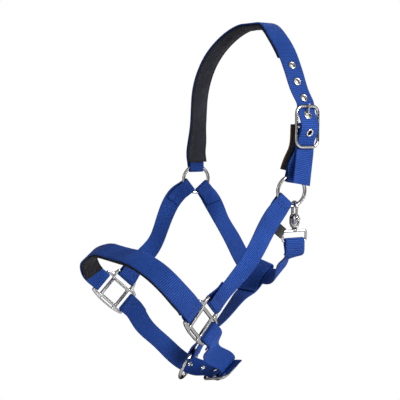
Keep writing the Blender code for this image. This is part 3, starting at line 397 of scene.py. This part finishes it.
def smooth_path(node, step):
    """Centre, directions, width and thickness of a strap at an even step along it."""
    chains = edge_chains(node)
    if len({len(chain) for chain in chains}) > 1:
        count = max(len(chain) for chain in chains)
        chains = [evened(chain, count) for chain in chains]
    a, b, c, d = chains
    centre = (a + b + c + d) / 4
    wide = (a + d) / 2 - (b + c) / 2
    tall = (a + b) / 2 - (c + d) / 2
    keep = [0]
    for k in range(1, len(centre)):
        if np.linalg.norm(centre[k] - centre[keep[-1]]) > 0.1 * MM:
            keep.append(k)
    centre, wide, tall = centre[keep], wide[keep], tall[keep]
    gaps = np.linalg.norm(np.diff(centre, axis=0), axis=1)
    knots = np.concatenate([[0], np.cumsum(gaps)])
    rate = np.diff(centre, axis=0) / gaps[:, None]
    slope = np.zeros_like(centre)
    slope[0], slope[-1] = rate[0], rate[-1]
    share = (gaps[1:] / (gaps[1:] + gaps[:-1]))[:, None]
    slope[1:-1] = rate[:-1] * share + rate[1:] * (1 - share)
    count = max(int(round(knots[-1] / step)), 4)
    at = np.linspace(0, knots[-1], count + 1)
    i = np.clip(np.searchsorted(knots, at, side="right") - 1, 0, len(gaps) - 1)
    h = gaps[i][:, None]
    t = ((at - knots[i]) / gaps[i])[:, None]
    spot = ((2 * t ** 3 - 3 * t ** 2 + 1) * centre[i] + (t ** 3 - 2 * t ** 2 + t) * h * slope[i]
            + (3 * t ** 2 - 2 * t ** 3) * centre[i + 1] + (t ** 3 - t ** 2) * h * slope[i + 1])
    along = np.gradient(spot, at, axis=0)
    along = unit(along)
    wide_now = wide[i] * (1 - t) + wide[i + 1] * t
    tall_now = tall[i] * (1 - t) + tall[i + 1] * t
    width = np.linalg.norm(wide_now, axis=1)
    thick = np.linalg.norm(tall[i], axis=1) * (1 - t[:, 0]) + np.linalg.norm(tall[i + 1], axis=1) * t[:, 0]
    side = unit(wide_now - along * np.sum(wide_now * along, axis=1, keepdims=True))
    face = np.cross(along, side)
    face *= np.sign(np.sum(face * tall_now, axis=1, keepdims=True))
    path = dict(s=at, centre=spot, along=along, side=side, face=unit(face), width=width, thick=thick)
    path["total"] = at[-1]
    return path


def fold_bars(path):
    """Distances at which a strap turns round a bar near its start and near its end."""
    found = []
    for ahead in (True, False):
        along = path["along"] if ahead else path["along"][::-1]
        s = path["s"] if ahead else path["total"] - path["s"][::-1]
        turned = np.nonzero((along @ along[0] < 0) & (s < 60 * MM))[0]
        if len(turned):
            found.append(s[turned[0]] if ahead else path["total"] - s[turned[0]])
        else:
            found.append(None)
    return found


def face_outward(path, bars):
    """Turn the face direction to the outer side of the folds."""
    for bar in bars:
        if bar is not None:
            k = int(np.clip(np.searchsorted(path["s"], bar), 3, len(path["s"]) - 4))
            bend = path["along"][k + 3] - path["along"][k - 3]
            if np.dot(path["face"][k], bend) > 0:
                path["face"] = -path["face"]
            return path
    return path


def point_at(path, s, across=0.0, height=0.0):
    """Point, along, side and face on a strap at a distance along it."""
    k = int(np.clip(np.searchsorted(path["s"], s), 0, len(path["s"]) - 1))
    spot = path["centre"][k] + path["side"][k] * across + path["face"][k] * height
    return spot, path["along"][k], path["side"][k], path["face"][k]


# ------------------------------------------------------------------ webbing
ACROSS = (1.0, 0.965, 0.88, 0.6, 0.2, -0.2, -0.6, -0.88, -0.965, -1.0)
CROWN_OF = (0.42, 0.84, 0.98, 1.0, 1.0, 1.0, 1.0, 0.98, 0.84, 0.42)


def rib_height(s, pitch, phase):
    """Height of the ribs along the webbing, from 0 in a groove to 1 on a rib."""
    return np.abs(np.sin(math.pi * (s / pitch + phase))) ** 0.75


def sweep(name, path, profile, material):
    """Closed surface through rows of (across, height) arrays, one value per station."""
    rows = []
    uvs = []
    for across, height in profile:
        across = np.broadcast_to(across, path["s"].shape)
        height = np.broadcast_to(height, path["s"].shape)
        rows.append(path["centre"] + path["side"] * across[:, None] + path["face"] * height[:, None])
        uvs.append(np.stack([across, path["s"]], axis=1))
    verts = np.stack(rows, axis=1)
    uv = np.stack(uvs, axis=1).reshape(-1, 2)
    n, m = verts.shape[:2]
    faces = []
    for i in range(n - 1):
        for j in range(m):
            k = (j + 1) % m
            faces.append((i * m + j, i * m + k, (i + 1) * m + k, (i + 1) * m + j))
    faces.append(tuple(range(m))[::-1])
    faces.append(tuple((n - 1) * m + j for j in range(m)))
    obj = add_mesh(name, verts.reshape(-1, 3), faces, material, uv)
    face_out(obj)
    return obj


def face_out(obj):
    """Turn a closed surface's faces outward."""
    bm = bmesh.new()
    bm.from_mesh(obj.data)
    if bm.calc_volume(signed=True) < 0:
        bmesh.ops.reverse_faces(bm, faces=bm.faces)
    bm.to_mesh(obj.data)
    bm.free()


def seam_dip(path, seams):
    """How far stitching pulls the cloth in at each station."""
    dip = np.zeros_like(path["s"])
    for seam in seams:
        dip = np.maximum(dip, SEAM_PULL * np.exp(-((path["s"] - seam) / (0.75 * MM)) ** 2))
    return dip


def webbing(node):
    """Ribbed webbing on a strap solid, with its sewn folds."""
    path = smooth_path(node, RIB / RIB_SAMPLES)
    pitch = path["total"] / (len(path["s"]) - 1) * RIB_SAMPLES
    bars = fold_bars(path)
    path = face_outward(path, bars)
    seams = []
    for bar, way in zip(bars, (1, -1)):
        if bar is not None:
            for row in SEAM_ROWS:
                seams += [bar + way * row, bar - way * row]
    s = path["s"]
    dip = seam_dip(path, seams)
    half = path["width"] / 2
    wander = 0.12 * MM * np.sin(s / (23 * MM)) + 0.08 * MM * np.sin(s / (7.3 * MM))
    profile = []
    for phase, up in ((0.0, 1), (0.5, -1)):
        rib = rib_height(s, pitch, phase)
        order = range(len(ACROSS)) if up > 0 else reversed(range(len(ACROSS)))
        for j in order:
            crown = CROWN_OF[j]
            top = (path["thick"] / 2) * crown - RIB_DEPTH * (1 - rib) * (0.35 + 0.65 * crown) - dip
            profile.append((half * ACROSS[j] * 0.992 + wander, top * up))
        edge = -1 if up > 0 else 1
        profile.append(((half - 0.10 * MM * (1 - rib)) * edge + wander, 0.0))
    obj = sweep(node + "_web", path, profile, WEBBING)
    place_piece(obj, node)
    rows = []
    for seam in seams:
        if 0 < seam < path["total"]:
            rows += across_row(path, seam)
    if rows:
        trim(stitches(node + "_stitching", rows, BLUE_THREAD), node)
    return obj, path


def across_row(path, s):
    """Stitches across the outer face of a strap."""
    k = int(np.clip(np.searchsorted(path["s"], s), 0, len(path["s"]) - 1))
    width = path["width"][k] * 0.9
    count = max(int(width / (2.6 * MM)), 2)
    rows = []
    for i in range(count):
        across = width * ((i + 0.5) / count - 0.5)
        spot, _, side, face = point_at(path, s, across, path["thick"][k] / 2 - 0.30 * MM)
        rows.append((spot, side, face, width / count * 0.86))
    return rows


def stitches(name, rows, material, radius=0.27 * MM):
    """Short thread stitches: (middle, direction, outward, length) each, in one mesh."""
    sides = 6
    verts = []
    faces = []
    for spot, heading, face, length in rows:
        other = np.cross(heading, face)
        base = len(verts)
        for t in (-1.0, -0.72, -0.3, 0.3, 0.72, 1.0):
            lift = 0.30 * MM * (1 - t * t) - 0.22 * MM * t * t
            size = radius * (1.0 if abs(t) < 0.9 else 0.55)
            middle = spot + heading * (length / 2 * t) + face * lift
            for k in range(sides):
                angle = 2 * math.pi * k / sides
                verts.append(middle + (face * math.cos(angle) + other * math.sin(angle)) * size)
        for i in range(5):
            for k in range(sides):
                j = (k + 1) % sides
                low = base + i * sides
                faces.append((low + k, low + j, low + sides + j, low + sides + k))
        faces.append(tuple(base + k for k in range(sides))[::-1])
        faces.append(tuple(base + 5 * sides + k for k in range(sides)))
    obj = add_mesh(name, verts, faces, material)
    face_out(obj)
    return obj


PATHS = {}
WEBS = {}
for strap in ("noseband_strap", "cheek_strap_near", "cheek_strap_far", "crown_strap", "crown_billet_strap",
              "throat_strap", "jaw_strap", "chin_strap_far", "chin_strap_near"):
    WEBS[strap], PATHS[strap] = webbing(strap)


# ------------------------------------------------------------------ metal
def principal(node):
    """Middle and axes of a node: its longest, middle and shortest directions."""
    co = np.array([tuple(vert.co) for vert in NODES[node].data.vertices])
    co = np.unique(np.round(co, 6), axis=0)
    middle = (co.max(0) + co.min(0)) / 2
    _, axes = np.linalg.eigh(np.cov((co - co.mean(0)).T))
    long, mid, short = axes[:, 2], axes[:, 1], axes[:, 0]
    local = (co - middle) @ np.stack([long, mid, short], axis=1)
    shift = (local.max(0) + local.min(0)) / 2
    middle = middle + np.stack([long, mid, short], axis=1) @ shift
    size = local.max(0) - local.min(0)
    return middle, long, mid, short, size, co


def round_bar(points, radius, sides=16, closed=False, up=None):
    """Vertices and faces of a round bar swept along points; up is any direction off the path."""
    pts = np.array(points)
    n = len(pts)
    if closed:
        along = unit(np.roll(pts, -1, axis=0) - np.roll(pts, 1, axis=0))
    else:
        along = unit(np.gradient(pts, axis=0))
    side = unit(np.cross(along, up))
    other = np.cross(side, along)
    size = np.broadcast_to(radius, (n,))[:, None]
    verts = []
    for k in range(sides):
        angle = 2 * math.pi * k / sides
        verts.append(pts + (side * math.cos(angle) + other * math.sin(angle)) * size)
    verts = np.stack(verts, axis=1).reshape(-1, 3)
    faces = []
    for i in range(n if closed else n - 1):
        for k in range(sides):
            j = (k + 1) % sides
            i2 = (i + 1) % n
            faces.append((i * sides + k, i * sides + j, i2 * sides + j, i2 * sides + k))
    if not closed:
        faces.append(tuple(range(sides))[::-1])
        faces.append(tuple((n - 1) * sides + k for k in range(sides)))
    return verts, faces


def joined(parts):
    """Several (vertices, faces) pairs as one."""
    verts = []
    faces = []
    for part_verts, part_faces in parts:
        base = len(verts)
        verts += list(part_verts)
        faces += [tuple(base + k for k in face) for face in part_faces]
    return verts, faces


def ring(node, joint):
    """Welded round ring: an even wire with the faint swelling of its weld."""
    axis = unit(np.array(JOINTS[joint]["axis"]))
    centre = np.array(JOINTS[joint]["pos_m"])
    co = np.array([tuple(vert.co) for vert in NODES[node].data.vertices]) - centre
    high = co @ axis
    flat = np.linalg.norm(co - high[:, None] * axis, axis=1)
    radius = (flat.max() + flat.min()) / 2
    wire = (flat.max() - flat.min()) / 2
    first = unit(np.cross(axis, (0.3, 0.2, 0.9)))
    second = np.cross(axis, first)
    angles = np.linspace(0, 2 * math.pi, 120, endpoint=False)
    pts = centre + radius * (np.cos(angles)[:, None] * first + np.sin(angles)[:, None] * second)
    weld = 1 + 0.05 * np.exp(-((angles - math.pi) / 0.05) ** 2)
    obj = add_mesh(node + "_ring", *round_bar(pts, wire * weld, 18, True, axis), CHROME)
    face_out(obj)
    return place_piece(obj, node)


FRAME_WIRE = {"crown_buckle_frame": 1.9 * MM, "chin_buckle_frame": 1.7 * MM}
BAR_WIRE = {"crown_buckle_frame": 1.5 * MM, "chin_buckle_frame": 1.4 * MM}


CORNER_STEPS = 12


def buckle(node, joint, corner=8.0 * MM):
    """Cast frame with rounded corners, round bars and a centre bar that thickens towards its ends."""
    middle, long, mid, short, size, _ = principal(node)
    wire = FRAME_WIRE[node]
    x = size[1] / 2 - wire
    y = size[0] / 2 - wire
    pts = []
    for cx, cy, start in ((x - corner, y - corner, 0), (-x + corner, y - corner, 90),
                          (-x + corner, -y + corner, 180), (x - corner, -y + corner, 270)):
        for k in range(CORNER_STEPS + 1):
            angle = math.radians(start + 90 / CORNER_STEPS * k)
            pts.append(middle + mid * (cx + corner * math.cos(angle))
                       + long * (cy + corner * math.sin(angle)))
    outline = round_bar(pts, wire, 16, True, short)
    bar_at = np.array(JOINTS[joint]["pos_m"])
    bar = round_bar([bar_at - mid * x, bar_at - mid * x * 0.5, bar_at + mid * x * 0.5, bar_at + mid * x],
                    np.array([1.35, 1.0, 1.0, 1.35]) * BAR_WIRE[node], 14, False, short)
    obj = add_mesh(node + "_frame", *joined([outline, bar]), CHROME)
    place_piece(obj, node)
    return obj


def cast(node, voxel, rounds, material, suffix="_cast"):
    """Solid metal piece with its edges melted to small fillets, as a casting has."""
    mesh = NODES[node].data.copy()
    obj = bpy.data.objects.new(node + suffix, mesh)
    bpy.context.scene.collection.objects.link(obj)
    weld = obj.modifiers.new("weld", "WELD")
    weld.merge_threshold = 2e-6
    remesh = obj.modifiers.new("remesh", "REMESH")
    remesh.mode = "VOXEL"
    remesh.voxel_size = voxel
    remesh.use_smooth_shade = True
    relax = obj.modifiers.new("relax", "SMOOTH")
    relax.factor = 0.5
    relax.iterations = rounds
    applied(obj)
    obj.data.materials.clear()
    obj.data.materials.append(material)
    obj.data.polygons.foreach_set("use_smooth", [True] * len(obj.data.polygons))
    return place_piece(obj, node)


def eyelet(node):
    """Rolled grommet: a domed flange and a barrel through the webbing."""
    middle, _, _, axis, _, co = principal(node)
    local = co - middle
    high = local @ axis
    flat = np.linalg.norm(local - high[:, None] * axis, axis=1)
    outer, inner = flat.max(), flat.min()
    rim = high[flat > outer * 0.97].mean()
    if rim < 0:
        axis, high, rim = -axis, -high, -rim
    low = high.min()
    top = high.max()
    base = high[flat > outer * 0.97].min()
    first = unit(np.cross(axis, (0.31, 0.22, 0.91)))
    second = np.cross(axis, first)
    barrel = [(inner, low), (inner + 0.45 * MM, low)] if base - low > 0.6 * MM else []
    profile = barrel + [(inner + 0.5 * MM, base) if barrel else (inner, base), (outer - 0.1 * MM, base)]
    reach = outer - inner
    for k in range(9):
        t = k / 8
        swell = math.sin(math.pi * (0.08 + 0.84 * t))
        profile.append((outer - reach * t, base + (top - base) * (0.15 + 0.85 * swell)))
    around = 36
    verts = []
    for radius, level in profile:
        for k in range(around):
            angle = 2 * math.pi * k / around
            verts.append(middle + axis * level
                         + (first * math.cos(angle) + second * math.sin(angle)) * radius)
    faces = []
    count = len(profile)
    for i in range(count):
        for k in range(around):
            j = (k + 1) % around
            i2 = (i + 1) % count
            faces.append((i * around + k, i * around + j, i2 * around + j, i2 * around + k))
    obj = add_mesh(node + "_grommet", verts, faces, EYELET)
    face_out(obj)
    place_piece(obj, node)
    return middle, axis, inner


ring("cheek_ring_near", "cheek_ring_near_spin")
ring("cheek_ring_far", "cheek_ring_far_spin")
ring("chin_ring", "chin_ring_spin")
buckle("crown_buckle_frame", "crown_tongue_lift")
buckle("chin_buckle_frame", "chin_tongue_lift")
for node in ("halter_square_near", "halter_square_far"):
    cast(node, 0.42 * MM, 14, CAST)
cast("snap_hook", 0.34 * MM, 7, CAST)
cast("snap_bolt", 0.28 * MM, 2, CHROME)
cast("snap_swivel_eye", 0.36 * MM, 6, CAST)
for node in ("crown_buckle_tongue", "chin_buckle_tongue"):
    cast(node, 0.26 * MM, 2, CHROME)
holes = {"crown_strap": [], "chin_strap_far": []}
for k in range(1, 6):
    holes["crown_strap"].append(eyelet("crown_eyelet_%d" % k))
for k in range(1, 4):
    holes["chin_strap_far"].append(eyelet("chin_eyelet_%d" % k))


def punch(obj, spots):
    """Cut the eyelet holes through a webbing strap."""
    parts = []
    for middle, axis, inner in spots:
        side = unit(np.cross(axis, (0.31, 0.22, 0.91)))
        parts.append(round_bar([middle - axis * 3.4 * MM, middle, middle + axis * 3 * MM], inner + 0.3 * MM,
                               24, False, side))
    tool = add_mesh("punch_tool", *joined(parts), EYELET)
    face_out(tool)
    mod = obj.modifiers.new("holes", "BOOLEAN")
    mod.solver = "EXACT"
    mod.object = tool
    applied(obj)
    bpy.data.objects.remove(tool)


for strap, spots in holes.items():
    punch(WEBS[strap], spots)


# ------------------------------------------------------------------ linings
FLAT_ROWS = 9                   # rows of a pad against its strap
PUFF_ROWS = 31                  # rows of a pad on the horse's side


def pad_profile(path, crown_in):
    """Rows of a padded lining: flat against the strap, crowned and channelled on the horse's side."""
    half = path["width"] / 2
    s = path["s"]
    profile = []
    ripple = 0.10 * MM * np.sin(s / (5.1 * MM) + 1.3 * np.sin(s / (31 * MM)))
    crease = 0.16 * MM * np.sin(s / (8.7 * MM)) * np.sin(s / (43 * MM))
    for u in np.linspace(1, -1, FLAT_ROWS):
        profile.append((half * u * 0.985, path["thick"] / 2 * (0.75 if abs(u) > 0.95 else 0.98)))
    for u in np.linspace(-1, 1, PUFF_ROWS):
        across = half * u
        edge = half - np.abs(across)
        roll = np.sqrt(np.clip(edge / (1.7 * MM), 0, 1))
        lip = np.exp(-((edge - CHANNEL) / (0.75 * MM)) ** 2)
        body = 1 - np.clip((edge - CHANNEL) / (half - CHANNEL), 0, 1)
        puff = crown_in * (1 - body ** 2.4)
        depth = path["thick"] / 2 * (0.15 + 0.85 * roll) * 0.94 + puff
        depth = depth - 0.75 * MM * lip + (ripple + crease) * np.where(edge > CHANNEL, 1.0, 0.3)
        profile.append((across, -depth))
    return profile


SIM_SCALE = 50.0                # the pads are filled at this enlargement, then brought back
SIM_FRAMES = 16
PAD_PRESSURE = 1.2


def filled(obj, rows, pinned_rows, swell):
    """Cloth simulation: the sewn rows hold while pressure and slack cloth fill the pad between them."""
    mesh = obj.data
    spots = np.zeros(len(mesh.vertices) * 3)
    mesh.vertices.foreach_get("co", spots)
    mesh.vertices.foreach_set("co", spots * SIM_SCALE)
    stations = len(mesh.vertices) // rows
    held = [i * rows + j for i in range(stations) for j in pinned_rows]
    held += [i * rows + j for i in (0, 1, stations - 2, stations - 1) for j in range(rows)]
    group = obj.vertex_groups.new(name="sewn")
    group.add(sorted(set(held)), 1.0, "REPLACE")
    cloth = obj.modifiers.new("filling", "CLOTH")
    cloth.settings.quality = 6
    cloth.settings.mass = 0.3
    cloth.settings.tension_stiffness = 25
    cloth.settings.compression_stiffness = 25
    cloth.settings.shear_stiffness = 15
    cloth.settings.bending_stiffness = 2.0
    cloth.settings.vertex_group_mass = "sewn"
    cloth.settings.shrink_min = -0.03
    cloth.settings.use_pressure = True
    cloth.settings.uniform_pressure_force = swell
    cloth.settings.effector_weights.gravity = 0.0
    cloth.collision_settings.use_collision = False
    cloth.point_cache.frame_start = 1
    cloth.point_cache.frame_end = SIM_FRAMES
    for moment in range(1, SIM_FRAMES + 1):
        bpy.context.scene.frame_set(moment)
    applied(obj)
    bpy.context.scene.frame_set(1)
    mesh = obj.data
    mesh.vertices.foreach_get("co", spots)
    mesh.vertices.foreach_set("co", spots / SIM_SCALE)
    mesh.update()
    obj.vertex_groups.clear()


def lining(node, outward_node, material, crown=0.5 * MM):
    """Padded lining on its CAD solid, stitched along both edges."""
    path = smooth_path(node, PAD_STEP)
    strap = PATHS[outward_node]["centre"]
    k = len(path["s"]) // 2
    near = strap[np.argmin(np.linalg.norm(strap - path["centre"][k], axis=1))]
    if np.dot(near - path["centre"][k], path["face"][k]) < 0:
        path["face"] = -path["face"]
    profile = pad_profile(path, crown)
    obj = sweep(node + "_pad", path, profile, material)
    half = np.median(path["width"]) / 2
    edge = half * (1 - np.abs(np.linspace(-1, 1, PUFF_ROWS)))
    loose = [FLAT_ROWS + j for j in range(PUFF_ROWS) if edge[j] > CHANNEL + 0.8 * MM]
    filled(obj, len(profile), [j for j in range(len(profile)) if j not in loose], PAD_PRESSURE)
    place_piece(obj, node)
    rows = []
    s = 3 * MM
    while s < path["total"] - 3 * MM:
        k = int(np.searchsorted(path["s"], s))
        for way in (1, -1):
            across = way * (path["width"][k] / 2 - CHANNEL)
            spot, along, _, face = point_at(path, s, across, -path["thick"][k] / 2 + 0.95 * MM)
            rows.append((spot, along, -face, 2.5 * MM))
        s += 3.1 * MM
    trim(stitches(node + "_stitching", rows, BLACK_THREAD, 0.24 * MM), node)
    return obj, path


# The noseband lining takes the padding copy darkened as painted shade.
lining("noseband_lining", "noseband_strap", PADDING_IN_SHADE)
lining("crown_lining", "crown_strap", PADDING)
lining("billet_lining", "crown_billet_strap", PADDING, 0.3 * MM)


def leather_strip(node):
    """Leather backing: rounded edges with a creased border line."""
    path = smooth_path(node, 1.5 * MM)
    half = path["width"] / 2
    profile = []
    for up in (1, -1):
        spread = np.linspace(1, -1, 17) if up > 0 else np.linspace(-1, 1, 17)
        for u in spread:
            edge = half * (1 - abs(u))
            roll = np.sqrt(np.clip(edge / (0.9 * MM), 0, 1))
            crease = 0.25 * MM * np.exp(-((edge - 2.6 * MM) / (0.5 * MM)) ** 2)
            profile.append((half * u, up * (path["thick"] / 2 * (0.2 + 0.8 * roll) - crease)))
    obj = sweep(node + "_leather", path, profile, LEATHER)
    return place_piece(obj, node)


leather_strip("billet_backing")


def soft_tag(node):
    """Small moulded tag with a raised rim, left blank."""
    mesh = NODES[node].data.copy()
    obj = bpy.data.objects.new(node + "_rubber", mesh)
    bpy.context.scene.collection.objects.link(obj)
    bm = bmesh.new()
    bm.from_mesh(mesh)
    bmesh.ops.remove_doubles(bm, verts=bm.verts, dist=2e-6)
    bmesh.ops.dissolve_limit(bm, angle_limit=0.02, verts=bm.verts, edges=bm.edges)
    big = sorted(bm.faces, key=lambda f: f.calc_area())[-2:]
    bmesh.ops.inset_individual(bm, faces=big, thickness=1.1 * MM, depth=0.0)
    for face in big:
        bmesh.ops.translate(bm, verts=face.verts, vec=-face.normal * 0.3 * MM)
    bm.to_mesh(mesh)
    bm.free()
    bevel = obj.modifiers.new("bevel", "BEVEL")
    bevel.width = 0.25 * MM
    bevel.segments = 3
    bevel.limit_method = "ANGLE"
    applied(obj)
    obj.data.materials.clear()
    obj.data.materials.append(TAG)
    obj.data.polygons.foreach_set("use_smooth", [True] * len(obj.data.polygons))
    return place_piece(obj, node)


soft_tag("blank_tag")

# ------------------------------------------------------------------ stage, light and camera
AZIMUTH = math.radians(52.297)
ELEVATION = math.radians(7.101)
LENS = 72.945
AIM = Vector((-0.0007, -0.0879, -0.2076))
DISTANCE = 0.9796

back = Vector((math.sin(AZIMUTH) * math.cos(ELEVATION), -math.cos(AZIMUTH) * math.cos(ELEVATION),
               math.sin(ELEVATION)))
right = Vector((math.cos(AZIMUTH), math.sin(AZIMUTH), 0))
up = back.cross(right)


def paper_material():
    """Plain white paper that keeps only a trace of shadow."""
    mat = bpy.data.materials.new("stage_paper")
    mat.use_nodes = True
    tree = mat.node_tree
    tree.nodes.clear()
    out = tree.nodes.new("ShaderNodeOutputMaterial")
    glow = tree.nodes.new("ShaderNodeEmission")
    glow.inputs["Color"].default_value = (1, 1, 1, 1)
    glow.inputs["Strength"].default_value = 1.0
    flat = tree.nodes.new("ShaderNodeBsdfDiffuse")
    flat.inputs["Color"].default_value = (0.8, 0.8, 0.8, 1)
    path = tree.nodes.new("ShaderNodeLightPath")
    mix = tree.nodes.new("ShaderNodeMixShader")
    tree.links.new(path.outputs["Is Camera Ray"], mix.inputs[0])
    tree.links.new(flat.outputs[0], mix.inputs[1])
    tree.links.new(glow.outputs[0], mix.inputs[2])
    tree.links.new(mix.outputs[0], out.inputs["Surface"])
    return mat


floor_z = cad_low.z - 30 * MM
floor = add_mesh("floor", [(-6, -6, floor_z), (6, -6, floor_z), (6, 6, floor_z), (-6, 6, floor_z)],
                 [(0, 1, 2, 3)], paper_material(), smooth=False)


def soft_light(name, direction, distance, size, power):
    data = bpy.data.lights.new(name, "AREA")
    data.shape = "DISK"
    data.size = size
    data.energy = power
    obj = bpy.data.objects.new(name, data)
    bpy.context.scene.collection.objects.link(obj)
    middle = (cad_low + cad_high) / 2
    obj.location = middle + direction.normalized() * distance
    obj.rotation_mode = "QUATERNION"
    obj.rotation_quaternion = direction.to_track_quat("Z", "Y")
    return obj


soft_light("key", back * 0.9 + right * 1.0 + up * 0.40, 1.5, 0.7, 21)
soft_light("fill", back * 1.0 - right * 0.9 + up * 0.1, 1.7, 1.0, 2.5)
soft_light("rim", -back * 0.8 + up * 0.8 + right * 0.2, 1.5, 0.8, 5)


def studio_world():
    """White to the camera; a light tent with darker bands to everything else."""
    world = bpy.data.worlds.new("studio")
    world.use_nodes = True
    tree = world.node_tree
    tree.nodes.clear()
    out = tree.nodes.new("ShaderNodeOutputWorld")
    seen = tree.nodes.new("ShaderNodeBackground")
    seen.inputs["Color"].default_value = (1, 1, 1, 1)
    tent = tree.nodes.new("ShaderNodeBackground")
    place = tree.nodes.new("ShaderNodeTexCoord")
    split = tree.nodes.new("ShaderNodeSeparateXYZ")
    turn = tree.nodes.new("ShaderNodeMath")
    turn.operation = "ARCTAN2"
    panels = tree.nodes.new("ShaderNodeMath")
    panels.operation = "MULTIPLY_ADD"
    panels.inputs[1].default_value = 5.0
    panels.inputs[2].default_value = math.radians(-98.5)
    wave = tree.nodes.new("ShaderNodeMath")
    wave.operation = "SINE"
    gap = tree.nodes.new("ShaderNodeMapRange")
    for k, value in ((1, -0.55), (2, 0.1), (3, 0.12), (4, 1.0)):
        gap.inputs[k].default_value = value
    tree.links.new(split.outputs["Y"], turn.inputs[0])
    tree.links.new(split.outputs["X"], turn.inputs[1])
    tree.links.new(turn.outputs[0], panels.inputs[0])
    tree.links.new(panels.outputs[0], wave.inputs[0])
    tree.links.new(wave.outputs[0], gap.inputs[0])
    shade = tree.nodes.new("ShaderNodeMix")
    shade.data_type = "RGBA"
    shade.inputs[6].default_value = (0.02, 0.02, 0.02, 1)
    tree.links.new(gap.outputs[0], shade.inputs[0])
    ramp = tree.nodes.new("ShaderNodeValToRGB")
    stops = ((0.0, 0.10), (0.33, 0.25), (0.43, 0.95), (0.475, 0.95), (0.50, 0.02), (0.56, 0.02),
             (0.62, 0.80), (0.78, 0.55), (1.0, 0.30))
    elements = ramp.color_ramp.elements
    while len(elements) < len(stops):
        elements.new(0.5)
    for element, (at, level) in zip(elements, stops):
        element.position = at
        element.color = (level, level, level, 1)
    shift = tree.nodes.new("ShaderNodeMapRange")
    shift.inputs[1].default_value = -1.0
    tree.links.new(place.outputs["Generated"], split.inputs[0])
    tree.links.new(split.outputs["Z"], shift.inputs[0])
    tree.links.new(shift.outputs[0], ramp.inputs[0])
    tree.links.new(ramp.outputs[0], shade.inputs[7])
    tree.links.new(shade.outputs[2], tent.inputs["Color"])
    tent.inputs["Strength"].default_value = 0.85
    path = tree.nodes.new("ShaderNodeLightPath")
    mix = tree.nodes.new("ShaderNodeMixShader")
    tree.links.new(path.outputs["Is Camera Ray"], mix.inputs[0])
    tree.links.new(tent.outputs[0], mix.inputs[1])
    tree.links.new(seen.outputs[0], mix.inputs[2])
    tree.links.new(mix.outputs[0], out.inputs["Surface"])
    return world


scene = bpy.context.scene
scene.world = studio_world()
scene.view_settings.view_transform = "Standard"
camera_data = bpy.data.cameras.new("camera")
camera_data.lens = LENS
camera_data.sensor_width = 36.0
camera_data.clip_start = 0.05
camera = bpy.data.objects.new("camera", camera_data)
scene.collection.objects.link(camera)
camera.location = AIM + back * DISTANCE
camera.rotation_mode = "QUATERNION"
camera.rotation_quaternion = Matrix((right, up, back)).transposed().to_quaternion()
scene.camera = camera
